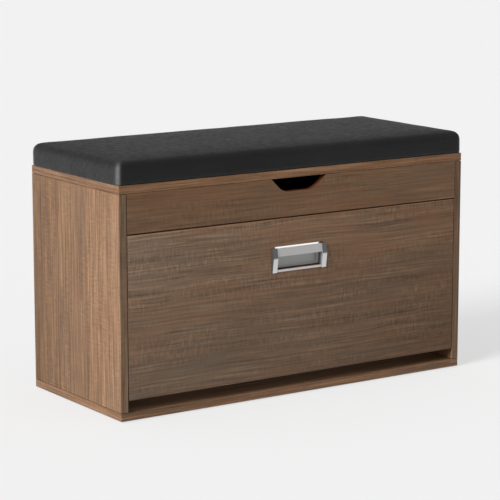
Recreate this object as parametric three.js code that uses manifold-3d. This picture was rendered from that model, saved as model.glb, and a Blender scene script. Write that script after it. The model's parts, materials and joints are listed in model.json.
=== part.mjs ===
// Entryway bench: a box of 15 mm board with a padded seat that lifts as a lid over a shallow
// compartment, and below it a wide front that tilts out and carries a shoe rack.
//
// Millimetres. X runs to the right, the front faces -Y, Z is up, and the origin lies on the
// floor under the middle of the bench.
import * as THREE from "three";
import { mergeVertices } from "three/addons/utils/BufferGeometryUtils.js";
import Module from "manifold-3d";

const wasm = await Module();
wasm.setup();

// ---------------------------------------------------------------- driving dimensions

const WIDTH = 800;
const DEPTH = 330;
const BOARD = 15;
const GLIDE_HEIGHT = 2;
const CARCASS_TOP = 426;
const LID_GAP = 1;
const CUSHION_HEIGHT = 45;

const UPPER_FRONT_HEIGHT = 75; // fixed strip above the tilting front, and the rear board
const REVEAL = 2; // gap round the tilting front
const DOOR_BOTTOM = 40;

const BACK_SHEET = 3; // back panel
const GROOVE_DEPTH = 6;
const GROOVE_PLAY = 0.2;
const GROOVE_FROM_REAR = 6; // board left behind the groove

const NOTCH_TOP_WIDTH = 127;
const NOTCH_DEPTH = 26;
const NOTCH_CORNER = 35;

const PLAY = 0.3; // fit between a fastener or fitting and its hole
const CAM = { radius: 7.5, thickness: 12, fromEnd: 24, slotLength: 8, slotWidth: 1.4, slotDepth: 2 };
const BASE_SCREW = { head: 5, headDepth: 4, shank: 3, length: 54, sunk: 0.4, point: 4 };
const GLIDE = { radius: 10, inset: 25 };
const BUMPER_RADIUS = 5;

const HINGE_X = 270;
const HINGE = { length: 66, middle: 22, barrel: 3, bore: 1.8, leaf: 1.2, gap: 0.4 };
const HINGE_PIN = { radius: 1.6, head: 2.6, headLength: 1 };
const HINGE_LID_LEAF = { thickness: 0.9, reach: 37 };
const HINGE_FIXED_DROP = 30; // height of the leaf on the rear board

const PIVOT = { y: -130, z: 60 }; // axis of the tilting front
const STUD = { shank: 5, head: 8, headThickness: 1.5 };
const PLATE = 1.5; // sheet of the pivot plates and rack cheeks
const PLATE_HOLE = 2.2; // radius of the screw holes in a pivot plate
const CHEEK_OUT = 380; // outer face of a rack cheek from the middle of the bench
const STOP = { radius: 34, closed: 40, open: 90, pin: 2.5, slot: 2.9, head: 4 }; // arc in degrees
const ROD = { radius: 3, tenon: 2.3, head: 3.6, headThickness: 1 };
const CHEEK_SCREW = { head: 4.2, headHeight: 2.2, shank: 2, intoDoor: 9, fromCheek: 10 };
const CHEEK_SCREW_HEIGHTS = { low: 95, high: 200 };

const HANDLE = { z: 269, width: 126, height: 48, cap: 10.5, edge: 2.4, ridge: 6.45, ridgeDrop: 19.7 };
const HANDLE_POCKET = { width: 114, bottom: 249.6, top: 295.2, depth: 11.5 };
const GRIP = { sunk: 1.2, thickness: 1.3, top: 292.5, bottom: 276.4 };
const GRIP_TENON = { z: [280, 289], length: 4.5 }; // narrower ends that enter the caps
const CUP = { sheet: 0.8, halfWidth: 51.4, corner: 5, topDepth: 6.2, midDepth: 12.8, lowDepth: 9 };
const CUP_DEPTH = 9.9; // inner depth of the cup's rounded back corners
const LIP = { bottom: 246, top: 250.6, thickness: 1.2 };

const COVER = { inset: 1, skin: 1, corner: 9, roll: 13, hem: 22 };
const CUSHION_BOARD = 5;

// ---------------------------------------------------------------- levels worked out from them

const HALF_W = WIDTH / 2;
const HALF_D = DEPTH / 2;
const INNER = HALF_W - BOARD; // inner face of a side panel
const BASE_TOP = GLIDE_HEIGHT + BOARD;
const STRIP_BOTTOM = CARCASS_TOP - UPPER_FRONT_HEIGHT;
const LID_BOTTOM = CARCASS_TOP + LID_GAP;
const LID_TOP = LID_BOTTOM + BOARD;
const DOOR_TOP = STRIP_BOTTOM - REVEAL;
const DOOR_HALF = INNER - REVEAL;
const DOOR_BACK = -HALF_D + BOARD;
const REAR_INNER = HALF_D - BOARD;
const BACK_Y = HALF_D - GROOVE_FROM_REAR - BACK_SHEET;
const CHEEK_IN = CHEEK_OUT - PLATE;
const HINGE_AXIS = { y: HALF_D + HINGE.barrel + PLAY, z: CARCASS_TOP + LID_GAP / 2 };

// ---------------------------------------------------------------- finishes

const finish = (color, roughness, metalness = 0) =>
  new THREE.MeshStandardMaterial({ color, roughness, metalness });
const WALNUT = finish(0x7d5f49, 0.6);
const HARDBOARD = finish(0x6d5240, 0.8);
const PLYWOOD = finish(0xc7a57a, 0.75);
const LEATHER = finish(0x2b2b2d, 0.45);
const FOAM = finish(0xd9d2b8, 0.95);
const ZINC = finish(0xa9abad, 0.4, 0.9);
const CHROME = finish(0xd6d8da, 0.12, 1);
const SATIN_ALUMINIUM = finish(0xb9babb, 0.35, 1);
const PLASTIC = finish(0x1f1f20, 0.55);
const RUBBER = finish(0xd8d8d2, 0.7);

// ---------------------------------------------------------------- shapes

const OVERCUT = 1; // how far a cutting shape runs past the face that it opens
const X_AXIS = new THREE.Vector3(1, 0, 0);
const Y_AXIS = new THREE.Vector3(0, 1, 0);
const Z_AXIS = new THREE.Vector3(0, 0, 1);
const FORWARD = new THREE.Vector3(0, -1, 0);

function solid(geometry) {
  const bare = geometry.clone();
  bare.deleteAttribute("normal");
  bare.deleteAttribute("uv");
  const merged = mergeVertices(bare, 1e-3);
  return new wasm.Manifold(
    new wasm.Mesh({
      numProp: 3,
      vertProperties: merged.attributes.position.array,
      triVerts: new Uint32Array(merged.index.array),
    }),
  );
}

function geometryOf(body) {
  const mesh = body.getMesh();
  const geometry = new THREE.BufferGeometry();
  geometry.setAttribute("position", new THREE.BufferAttribute(mesh.vertProperties, 3));
  geometry.setIndex(new THREE.BufferAttribute(mesh.triVerts, 1));
  return geometry;
}

const join = (...bodies) => bodies.reduce((a, b) => a.add(b));
const cut = (body, ...tools) => tools.reduce((a, b) => a.subtract(b), body);

function block([x0, x1], [y0, y1], [z0, z1]) {
  const box = new THREE.BoxGeometry(x1 - x0, y1 - y0, z1 - z0);
  box.translate((x0 + x1) / 2, (y0 + y1) / 2, (z0 + z1) / 2);
  return solid(box);
}

// A turned piece: its profile is a list of [radius, distance along the axis] that starts and
// ends on the axis, and the axis points along X, Y or Z from a given place.
function turned(profile, axis, place, sides = 16) {
  const points = profile.map(([radius, along]) => new THREE.Vector2(radius, along));
  const lathe = new THREE.LatheGeometry(points, sides);
  lathe.applyQuaternion(new THREE.Quaternion().setFromUnitVectors(Y_AXIS, axis));
  lathe.translate(...place);
  return solid(lathe);
}

// The profile of a piece that is the same at both ends, from the half past its middle.
const bothEnds = (half) => [...half.map(([radius, along]) => [radius, -along]).reverse(), ...half];

function cylinder(radius, [from, to], axis, place, sides = 16) {
  return turned([[0, from], [radius, from], [radius, to], [0, to]], axis, place, sides);
}

const extruded = (shape, [from, to]) =>
  new THREE.ExtrudeGeometry(shape, { depth: to - from, bevelEnabled: false, curveSegments: 6 });

// A shape in a side view: its first coordinate is Y, its second Z, and it runs along X.
function alongX(shape, x) {
  const body = extruded(shape, x);
  body.applyMatrix4(new THREE.Matrix4().makeBasis(Y_AXIS, Z_AXIS, X_AXIS));
  body.translate(x[0], 0, 0);
  return solid(body);
}

// A shape in the front view: its first coordinate is X, its second Z, and it runs along Y.
function alongY(shape, y) {
  const body = extruded(shape, y);
  body.applyMatrix4(new THREE.Matrix4().makeBasis(X_AXIS, Z_AXIS, FORWARD));
  body.translate(0, y[1], 0);
  return solid(body);
}

// A shape in the plan view, standing along Z.
function alongZ(shape, z) {
  const body = extruded(shape, z);
  body.translate(0, 0, z[0]);
  return solid(body);
}

const polygon = (points) => new THREE.Shape(points.map(([a, b]) => new THREE.Vector2(a, b)));

// A closed outline with each corner rounded by a short curve that starts `reach` before it.
function rounded(points, reach, Kind = THREE.Shape) {
  const outline = new Kind();
  const corners = points.map(([a, b]) => new THREE.Vector2(a, b));
  corners.forEach((corner, i) => {
    const before = corners.at(i - 1);
    const after = corners[(i + 1) % corners.length];
    const inward = before.clone().sub(corner).setLength(reach).add(corner);
    const outward = after.clone().sub(corner).setLength(reach).add(corner);
    if (i === 0) outline.moveTo(inward.x, inward.y);
    else outline.lineTo(inward.x, inward.y);
    outline.quadraticCurveTo(corner.x, corner.y, outward.x, outward.y);
  });
  outline.closePath();
  return outline;
}

const rectangle = (halfX, [y0, y1], corner) =>
  rounded([[-halfX, y0], [halfX, y0], [halfX, y1], [-halfX, y1]], corner);

const bench = new THREE.Group();
bench.name = "entryway_bench";

function piece(name, body, material) {
  const mesh = new THREE.Mesh(geometryOf(body), material);
  mesh.name = name;
  bench.add(mesh);
}

const SIDES = [["left", -1], ["right", 1]];
const mirrored = (side, [a, b]) => (side < 0 ? [-b, -a] : [a, b]);

// ---------------------------------------------------------------- carcass

const BACK_GROOVE = [BACK_Y - GROOVE_PLAY, BACK_Y + BACK_SHEET + GROOVE_PLAY];
const SCREW_X = HALF_W - BOARD / 2;
const SCREW_Y = 110;
const CAM_X = INNER - CAM.fromEnd;
const CAM_Y = 100;
const CAM_Z = (STRIP_BOTTOM + CARCASS_TOP) / 2;

const camPocket = (axis, place) =>
  cylinder(CAM.radius + PLAY, [-OVERCUT, CAM.thickness + PLAY], axis, place);

function basePanel() {
  const half = INNER + GROOVE_DEPTH + PLAY;
  const groove = block([-half, half], BACK_GROOVE, [BASE_TOP - GROOVE_DEPTH, BASE_TOP + OVERCUT]);
  let board = block([-HALF_W, HALF_W], [-HALF_D, HALF_D], [GLIDE_HEIGHT, BASE_TOP]);
  board = cut(board, groove);
  for (const x of [-SCREW_X, SCREW_X]) {
    for (const y of [-SCREW_Y, SCREW_Y]) {
      const place = [x, y, GLIDE_HEIGHT];
      const seatDepth = BASE_SCREW.sunk + BASE_SCREW.headDepth;
      const seat = cylinder(BASE_SCREW.head + PLAY, [-OVERCUT, seatDepth], Z_AXIS, place);
      const hole = cylinder(BASE_SCREW.shank + PLAY, [0, BOARD + OVERCUT], Z_AXIS, place);
      board = cut(board, seat, hole);
    }
  }
  return board;
}

function sidePanel(side) {
  const board = block(mirrored(side, [INNER, HALF_W]), [-HALF_D, HALF_D], [BASE_TOP, CARCASS_TOP]);
  const grooveX = mirrored(side, [INNER - OVERCUT, INNER + GROOVE_DEPTH + PLAY]);
  const groove = block(grooveX, BACK_GROOVE, [BASE_TOP - OVERCUT, CARCASS_TOP + OVERCUT]);
  const pilotDepth = BASE_SCREW.length - BOARD + 2;
  const pilots = [-SCREW_Y, SCREW_Y].map((y) => {
    const place = [side * SCREW_X, y, BASE_TOP];
    return cylinder(BASE_SCREW.shank + PLAY, [-OVERCUT, pilotDepth], Z_AXIS, place);
  });
  return cut(board, groove, ...pilots);
}

function compartmentFloor() {
  const board = block([-INNER, INNER], [DOOR_BACK, REAR_INNER], [STRIP_BOTTOM, STRIP_BOTTOM + BOARD]);
  const pockets = [-CAM_X, CAM_X].flatMap((x) =>
    [-CAM_Y, CAM_Y].map((y) => camPocket(Z_AXIS, [x, y, STRIP_BOTTOM])),
  );
  return cut(board, ...pockets);
}

// The notch is a trapezium with 45 degree sides whose two lower corners are rounded.
function fingerNotch() {
  const half = NOTCH_TOP_WIDTH / 2;
  const bottom = CARCASS_TOP - NOTCH_DEPTH;
  const foot = half - NOTCH_DEPTH; // where a side would meet the bottom if it weren't rounded
  const reach = NOTCH_CORNER * Math.tan(Math.PI / 8);
  const slant = reach * Math.SQRT1_2;
  const centreZ = bottom + NOTCH_CORNER;
  const outline = new THREE.Shape();
  outline.moveTo(-half - OVERCUT, CARCASS_TOP + OVERCUT);
  outline.lineTo(-foot - slant, bottom + slant);
  outline.absarc(-foot + reach, centreZ, NOTCH_CORNER, -Math.PI * 0.75, -Math.PI / 2, false);
  outline.lineTo(foot - reach, bottom);
  outline.absarc(foot - reach, centreZ, NOTCH_CORNER, -Math.PI / 2, -Math.PI / 4, false);
  outline.lineTo(half + OVERCUT, CARCASS_TOP + OVERCUT);
  outline.closePath();
  return alongY(outline, [-HALF_D - OVERCUT, DOOR_BACK + OVERCUT]);
}

function upperFront() {
  const board = block([-INNER, INNER], [-HALF_D, DOOR_BACK], [STRIP_BOTTOM, CARCASS_TOP]);
  const pockets = [-CAM_X, CAM_X].map((x) => camPocket(FORWARD, [x, DOOR_BACK, CAM_Z]));
  return cut(board, fingerNotch(), ...pockets);
}

function rearBoard() {
  const board = block([-INNER, INNER], [REAR_INNER, HALF_D], [STRIP_BOTTOM, CARCASS_TOP]);
  const half = INNER + OVERCUT;
  const grooveZ = [STRIP_BOTTOM - OVERCUT, STRIP_BOTTOM + GROOVE_DEPTH];
  const groove = block([-half, half], BACK_GROOVE, grooveZ);
  const pockets = [-CAM_X, CAM_X].map((x) => camPocket(Y_AXIS, [x, REAR_INNER, CAM_Z]));
  return cut(board, groove, ...pockets);
}

function backPanel() {
  const half = INNER + GROOVE_DEPTH;
  const z = [BASE_TOP - GROOVE_DEPTH + PLAY, STRIP_BOTTOM + GROOVE_DEPTH - PLAY];
  return block([-half, half], [BACK_Y, BACK_Y + BACK_SHEET], z);
}

piece("base_panel", basePanel(), WALNUT);
for (const [name, side] of SIDES) piece(`side_panel_${name}`, sidePanel(side), WALNUT);
piece("compartment_floor", compartmentFloor(), WALNUT);
piece("upper_front_panel", upperFront(), WALNUT);
piece("rear_board", rearBoard(), WALNUT);
piece("back_panel", backPanel(), HARDBOARD);

// ---------------------------------------------------------------- fasteners, glides, bumpers

// A cam lock is a thick disc with a cross slot in its face; the axis points into its board.
function camLock(axis, place) {
  const disc = cylinder(CAM.radius, [0, CAM.thickness], axis, place, 24);
  const { slotLength, slotWidth, slotDepth } = CAM;
  const cross = [[slotLength, slotWidth], [slotWidth, slotLength]].map(([a, b]) => {
    const bar = new THREE.BoxGeometry(a, 2 * slotDepth, b);
    bar.applyQuaternion(new THREE.Quaternion().setFromUnitVectors(Y_AXIS, axis));
    bar.translate(...place);
    return solid(bar);
  });
  return cut(disc, ...cross);
}

function baseScrew(x, y) {
  const { head, headDepth, shank, length, sunk, point } = BASE_SCREW;
  const profile = [[0, 0], [head, 0], [shank, headDepth - PLAY], [shank, length - point], [0, length]];
  return turned(profile, Z_AXIS, [x, y, GLIDE_HEIGHT + sunk]);
}

for (const [name, side] of SIDES) {
  for (const [end, y] of [["front", -CAM_Y], ["rear", CAM_Y]]) {
    piece(`cam_lock_floor_${name}_${end}`, camLock(Z_AXIS, [side * CAM_X, y, STRIP_BOTTOM]), ZINC);
  }
  piece(`cam_lock_upper_front_${name}`, camLock(FORWARD, [side * CAM_X, DOOR_BACK, CAM_Z]), ZINC);
  piece(`cam_lock_rear_board_${name}`, camLock(Y_AXIS, [side * CAM_X, REAR_INNER, CAM_Z]), ZINC);
  for (const [end, y] of [["front", -SCREW_Y], ["rear", SCREW_Y]]) {
    piece(`base_screw_${name}_${end}`, baseScrew(side * SCREW_X, y), ZINC);
  }
  for (const [end, y] of [["front", -HALF_D + GLIDE.inset], ["rear", HALF_D - GLIDE.inset]]) {
    const place = [side * (HALF_W - GLIDE.inset), y, 0];
    piece(`glide_${name}_${end}`, cylinder(GLIDE.radius, [0, GLIDE_HEIGHT], Z_AXIS, place, 24), PLASTIC);
  }
  const corner = [side * SCREW_X, -HALF_D + BOARD, CARCASS_TOP];
  piece(`lid_bumper_${name}`, cylinder(BUMPER_RADIUS, [0, LID_GAP], Z_AXIS, corner, 20), RUBBER);
}

// ---------------------------------------------------------------- seat: lid board and cushion

// A padded block: rounded upright corners, rolled top edges, flat underside.
function paddedBlock(halfX, halfY, corner, roll, [z0, z1]) {
  const below = z0 - 2 * roll;
  const rolled = (half) => rounded([[-half, below], [half, below], [half, z1], [-half, z1]], roll);
  return alongZ(rectangle(halfX, [-halfY, halfY], corner), [z0, z1])
    .intersect(alongX(rolled(halfY), [-halfX - OVERCUT, halfX + OVERCUT]))
    .intersect(alongY(rolled(halfX), [-halfY - OVERCUT, halfY + OVERCUT]));
}

function cushionCover() {
  const top = LID_TOP + CUSHION_HEIGHT;
  const halfX = HALF_W - COVER.inset;
  const halfY = HALF_D - COVER.inset;
  const { skin, corner, roll, hem } = COVER;
  const outside = paddedBlock(halfX, halfY, corner, roll, [LID_TOP, top]);
  const insideZ = [LID_TOP + skin, top - skin];
  const inside = paddedBlock(halfX - skin, halfY - skin, corner - skin, roll - skin, insideZ);
  const hemX = halfX - hem;
  const hemY = halfY - hem;
  const opening = block([-hemX, hemX], [-hemY, hemY], [LID_TOP - OVERCUT, LID_TOP + 2 * skin]);
  return cut(outside, inside, opening);
}

function cushionBoard() {
  const inset = COVER.inset + COVER.skin + PLAY;
  const outline = rectangle(HALF_W - inset, [-HALF_D + inset, HALF_D - inset], COVER.corner);
  return alongZ(outline, [LID_TOP + COVER.skin, LID_TOP + COVER.skin + CUSHION_BOARD]);
}

function cushionFoam() {
  const inset = COVER.inset + COVER.skin + PLAY;
  const z = [LID_TOP + COVER.skin + CUSHION_BOARD, LID_TOP + CUSHION_HEIGHT - COVER.skin - PLAY];
  return paddedBlock(HALF_W - inset, HALF_D - inset, COVER.corner, COVER.roll - COVER.skin, z);
}

piece("lid_board", block([-HALF_W, HALF_W], [-HALF_D, HALF_D], [LID_BOTTOM, LID_TOP]), WALNUT);
piece("cushion_board", cushionBoard(), PLYWOOD);
piece("cushion_foam", cushionFoam(), FOAM);
piece("cushion_cover", cushionCover(), LEATHER);

// ---------------------------------------------------------------- lid hinges

const barrelPart = ([x0, x1]) => {
  const place = [0, HINGE_AXIS.y, HINGE_AXIS.z];
  const ring = cylinder(HINGE.barrel, [x0, x1], X_AXIS, place, 20);
  return cut(ring, cylinder(HINGE.bore, [x0 - OVERCUT, x1 + OVERCUT], X_AXIS, place, 20));
};

// The leaf screwed to the rear face of the rear board, with the two outer knuckles.
function fixedLeaf(x) {
  const half = HINGE.length / 2;
  const inner = HINGE.middle / 2 + HINGE.gap;
  const y = [HALF_D, HALF_D + HINGE.leaf];
  const bottom = HINGE_AXIS.z - HINGE_FIXED_DROP;
  const clear = HINGE_AXIS.z - HINGE.barrel - 2 * PLAY;
  let leaf = block([x - half, x + half], y, [bottom, clear]);
  for (const side of [-1, 1]) {
    const ends = mirrored(side, [inner, half]).map((offset) => x + offset);
    leaf = join(leaf, block(ends, y, [clear - 1, HINGE_AXIS.z]), barrelPart(ends));
  }
  return leaf;
}

// The leaf screwed under the lid board, with the middle knuckle.
function lidLeaf(x) {
  const half = HINGE.length / 2;
  const middle = [x - HINGE.middle / 2, x + HINGE.middle / 2];
  const z = [LID_BOTTOM - HINGE_LID_LEAF.thickness, LID_BOTTOM];
  const plate = block([x - half, x + half], [HALF_D - HINGE_LID_LEAF.reach, HALF_D - PLAY], z);
  const tongue = block(middle, [HALF_D - 1, HALF_D + HINGE.leaf], z);
  return join(plate, tongue, barrelPart(middle));
}

// A plain pin with a rivet head outside each end knuckle.
function hingePin(x) {
  const { radius, head, headLength } = HINGE_PIN;
  const shoulder = HINGE.length / 2 + PLAY;
  const end = shoulder + headLength;
  const half = [[radius, shoulder], [head, shoulder], [head, end], [0, end]];
  return turned(bothEnds(half), X_AXIS, [x, HINGE_AXIS.y, HINGE_AXIS.z], 20);
}

for (const [name, side] of SIDES) {
  piece(`hinge_fixed_leaf_${name}`, fixedLeaf(side * HINGE_X), ZINC);
  piece(`hinge_lid_leaf_${name}`, lidLeaf(side * HINGE_X), ZINC);
  piece(`hinge_pin_${name}`, hingePin(side * HINGE_X), ZINC);
}

// ---------------------------------------------------------------- tilting front: panel

function doorPanel() {
  const board = block([-DOOR_HALF, DOOR_HALF], [-HALF_D, DOOR_BACK], [DOOR_BOTTOM, DOOR_TOP]);
  const { width, bottom, top, depth } = HANDLE_POCKET;
  const pocketY = [-HALF_D - OVERCUT, -HALF_D + depth];
  const pocket = block([-width / 2, width / 2], pocketY, [bottom, top]);
  const pilotDepth = CHEEK_SCREW.intoDoor + 1;
  const pilots = SIDES.flatMap(([, side]) =>
    Object.values(CHEEK_SCREW_HEIGHTS).map((z) => {
      const place = [side * (CHEEK_OUT - CHEEK_SCREW.fromCheek), DOOR_BACK, z];
      return cylinder(CHEEK_SCREW.shank + PLAY, [-OVERCUT, pilotDepth], FORWARD, place);
    }),
  );
  return cut(board, pocket, ...pilots);
}

piece("door_panel", doorPanel(), WALNUT);

// ---------------------------------------------------------------- tilting front: recessed pull

// The pull's outlines are drawn with `proud`, the distance out of the door's face, and Z.
const onDoor = ([proud, z]) => [-HALF_D - proud, z];
const doorPolygon = (points) => polygon(points.map(onDoor));
const HANDLE_TOP = HANDLE.z + HANDLE.height / 2;
const HANDLE_BOTTOM = HANDLE.z - HANDLE.height / 2;
const RIDGE_Z = HANDLE_TOP - HANDLE.ridgeDrop;
const CAP_INNER = HANDLE.width / 2 - HANDLE.cap;
const SLOPE = Math.atan2(HANDLE.ridge - HANDLE.edge, HANDLE.ridgeDrop); // of the upper facet

// How far the plane that lies `sunk` under the upper facet stands out of the door at a height.
function facet(sunk, z) {
  return HANDLE.edge + (HANDLE_TOP - z) * Math.tan(SLOPE) - sunk / Math.cos(SLOPE);
}

// The strip of the grip between two heights, grown on every side by `grow`.
function gripSection([z0, z1], grow) {
  const front = GRIP.sunk - grow;
  const back = GRIP.sunk + GRIP.thickness + grow;
  const low = z0 - grow;
  const high = z1 + grow;
  return doorPolygon([
    [facet(front, low), low],
    [facet(front, high), high],
    [facet(back, high), high],
    [facet(back, low), low],
  ]);
}

function gripBar() {
  const half = CAP_INNER - PLAY;
  const end = half + GRIP_TENON.length;
  const strip = alongX(gripSection([GRIP.bottom, GRIP.top], 0), [-half, half]);
  return join(strip, alongX(gripSection(GRIP_TENON.z, 0), [-end, end]));
}

// An end cap: two facets that meet in a soft ridge, and a lug that fills the pocket's end.
function endCap(side) {
  const soft = 2;
  const { edge, ridge } = HANDLE;
  const lean = Math.atan2(ridge - edge, RIDGE_Z - HANDLE_BOTTOM);
  const crest = ridge - (soft * (Math.tan(SLOPE) + Math.tan(lean))) / 4;
  const face = alongX(
    doorPolygon([
      [0, HANDLE_BOTTOM],
      [edge, HANDLE_BOTTOM],
      [ridge - soft * Math.tan(lean), RIDGE_Z - soft],
      [crest, RIDGE_Z],
      [ridge - soft * Math.tan(SLOPE), RIDGE_Z + soft],
      [edge, HANDLE_TOP],
      [0, HANDLE_TOP],
    ]),
    mirrored(side, [CAP_INNER, HANDLE.width / 2]),
  );
  const inside = 2; // the lug stays this far inside the pocket
  const lug = block(
    mirrored(side, [CAP_INNER, HANDLE_POCKET.width / 2 - PLAY]),
    [-HALF_D - 1, -HALF_D + HANDLE_POCKET.depth - inside],
    [HANDLE_POCKET.bottom + inside, HANDLE_TOP - inside],
  );
  const socketX = mirrored(side, [CAP_INNER - OVERCUT, CAP_INNER + GRIP_TENON.length]);
  const socket = alongX(gripSection(GRIP_TENON.z, PLAY), socketX);
  return cut(join(face, lug), socket);
}

const CUP_TOP = HANDLE_POCKET.top - 0.2;
const CUP_FOOT = HANDLE_POCKET.bottom + PLAY;
const CUP_LOW = CUP_FOOT + 2.1; // foot of the curved wall

// The curve of the cup's back wall, `deeper` in, with its ends drawn out by `past`.
function cupWall(deeper, past) {
  const curve = new THREE.QuadraticBezierCurve(
    new THREE.Vector2(-CUP.topDepth - deeper, CUP_TOP),
    new THREE.Vector2(-CUP.midDepth - deeper, (CUP_LOW + CUP_TOP) / 2),
    new THREE.Vector2(-CUP.lowDepth - deeper, CUP_LOW),
  );
  const points = curve.getPoints(8).map(({ x, y }) => [x, y]);
  points.at(0)[1] += past;
  points.at(-1)[1] -= past;
  return points;
}

// The cup from above, grown by `grow`: straight ends with rounded corners at the back.
function cupPlan(grow) {
  const half = CUP.halfWidth + grow;
  const corner = CUP.corner + grow;
  const front = -HALF_D - 5;
  const cornerY = -HALF_D + CUP_DEPTH - CUP.corner;
  const outline = new THREE.Shape();
  outline.moveTo(-half, front);
  outline.lineTo(half, front);
  outline.lineTo(half, cornerY);
  outline.absarc(half - corner, cornerY, corner, 0, Math.PI / 2, false);
  outline.absarc(-half + corner, cornerY, corner, Math.PI / 2, Math.PI, false);
  outline.closePath();
  return alongZ(outline, [CUP_FOOT - 5, CUP_TOP + 5]);
}

// The cup: a bent sheet that curves back behind the grip, open above and below, with upright
// end walls and a lip across the bottom of the door's pocket.
function handleCup() {
  const { sheet, halfWidth, topDepth, lowDepth } = CUP;
  const reach = halfWidth + 3; // past the ends of the cup, which the plan then trims
  const lipJoint = CUP_FOOT + 2;
  const outerSide = doorPolygon([
    [0, CUP_TOP],
    ...cupWall(sheet, 0),
    [-lowDepth / 3, CUP_FOOT],
    [LIP.thickness, CUP_FOOT],
    [LIP.thickness, lipJoint],
    [0, lipJoint],
  ]);
  const clear = LIP.thickness + OVERCUT;
  const innerSide = doorPolygon([[clear, CUP_TOP + 3], ...cupWall(0, 3), [clear, CUP_LOW - 3]]);
  const outer = alongX(outerSide, [-reach, reach]).intersect(cupPlan(sheet));
  const inner = alongX(innerSide, [-halfWidth, halfWidth]).intersect(cupPlan(0));
  const topY = [-HALF_D - 3, -HALF_D + topDepth - PLAY];
  const topOpening = block([-reach, reach], topY, [HANDLE_TOP - 2, CUP_TOP + OVERCUT]);
  const lipX = halfWidth + sheet;
  const lip = block([-lipX, lipX], [-HALF_D - LIP.thickness, -HALF_D], [LIP.bottom, LIP.top]);
  return join(cut(outer, inner, topOpening), lip);
}

piece("handle_cup", handleCup(), SATIN_ALUMINIUM);
piece("handle_grip", gripBar(), SATIN_ALUMINIUM);
for (const [name, side] of SIDES) piece(`handle_cap_${name}`, endCap(side), CHROME);

// ---------------------------------------------------------------- tilting front: rack

const RODS = [
  { name: "rack_rod_front_seat_1", y: -108, z: 70 },
  { name: "rack_rod_front_seat_2", y: -72, z: 66 },
  { name: "rack_rod_divider_low", y: -45, z: 130 },
  { name: "rack_rod_divider_high", y: -45, z: 235 },
  { name: "rack_rod_rear_seat_1", y: -12, z: 66 },
  { name: "rack_rod_rear_seat_2", y: 36, z: 76 },
  { name: "rack_rod_rear_guard", y: 91, z: 163 },
];

const onArc = (degrees, radius) => {
  const angle = THREE.MathUtils.degToRad(degrees);
  return [PIVOT.y + radius * Math.cos(angle), PIVOT.z + radius * Math.sin(angle)];
};
const STOP_PLACE = onArc(STOP.closed, STOP.radius);

const around = (x) => [x - 4, x + 4]; // long enough to cut through a sheet at this X

// The fan that a rack cheek is cut from, with a window for each row of shoes.
function cheekFan() {
  const lower = [[DOOR_BACK, 46], [-118, 40], [30, 58], [106, 138]];
  const upper = [[106, 178], [-34, 250], [-58, 250], [DOOR_BACK, 236]];
  const fan = rounded([...lower, ...upper], 7);
  const frontWindow = [[-128, 116], [-66, 100], [-66, 214], [-128, 206]];
  const rearWindow = [[-24, 98], [28, 102], [66, 144], [-24, 188]];
  fan.holes.push(...[frontWindow, rearWindow].map((window) => rounded(window, 9, THREE.Path)));
  return fan;
}

// A rack cheek is pressed from one sheet: the fan, and a flange that is screwed to the door.
function rackCheek(side) {
  const sheet = alongX(cheekFan(), mirrored(side, [CHEEK_IN, CHEEK_OUT]));
  const flangeX = mirrored(side, [CHEEK_OUT - 2 * CHEEK_SCREW.fromCheek + 1, CHEEK_OUT]);
  const flange = block(flangeX, [DOOR_BACK, DOOR_BACK + PLATE], [70, 225]);
  const wide = around(side * CHEEK_IN);
  const holes = RODS.map(({ y, z }) => cylinder(ROD.tenon + PLAY, wide, X_AXIS, [0, y, z], 12));
  holes.push(cylinder(STUD.shank + PLAY, wide, X_AXIS, [0, PIVOT.y, PIVOT.z], 32));
  holes.push(cylinder(STOP.pin + PLAY, wide, X_AXIS, [0, ...STOP_PLACE], 16));
  for (const z of Object.values(CHEEK_SCREW_HEIGHTS)) {
    const place = [side * (CHEEK_OUT - CHEEK_SCREW.fromCheek), DOOR_BACK, z];
    const through = [-OVERCUT, PLATE + OVERCUT];
    holes.push(cylinder(CHEEK_SCREW.shank + PLAY, through, Y_AXIS, place, 12));
  }
  return cut(join(sheet, flange), ...holes);
}

// A rod is a straight wire whose thinner ends pass through the cheeks and are headed over.
function rackRod({ y, z }) {
  const shoulder = CHEEK_IN - PLAY;
  const headFrom = CHEEK_OUT + PLAY;
  const headTo = headFrom + ROD.headThickness;
  const half = [
    [ROD.radius, shoulder],
    [ROD.tenon, shoulder],
    [ROD.tenon, headFrom],
    [ROD.head, headFrom],
    [ROD.head, headTo],
    [0, headTo],
  ];
  return turned(bothEnds(half), X_AXIS, [0, y, z], 12);
}

function cheekScrew(side, z) {
  const { head, headHeight, shank, intoDoor, fromCheek } = CHEEK_SCREW;
  const tip = -PLATE - intoDoor;
  const profile = [
    [0, tip],
    [shank, tip + 1],
    [shank, 0],
    [head, 0],
    [head * 0.75, headHeight],
    [0, headHeight],
  ];
  return turned(profile, Y_AXIS, [side * (CHEEK_OUT - fromCheek), DOOR_BACK + PLATE, z], 14);
}

// A stop pin is headed inside its cheek and reaches through it into the arc slot.
function stopPin(side) {
  const { pin, head } = STOP;
  const headFace = CHEEK_IN - PLAY;
  const headEnd = headFace - PLATE;
  const tip = INNER - PLAY;
  const profile = [[0, headEnd], [head, headEnd], [head, headFace], [pin, headFace], [pin, tip], [0, tip]];
  return turned(profile, X_AXIS.clone().multiplyScalar(side), [0, ...STOP_PLACE], 16);
}

// ---------------------------------------------------------------- pivots on the side panels

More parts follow.
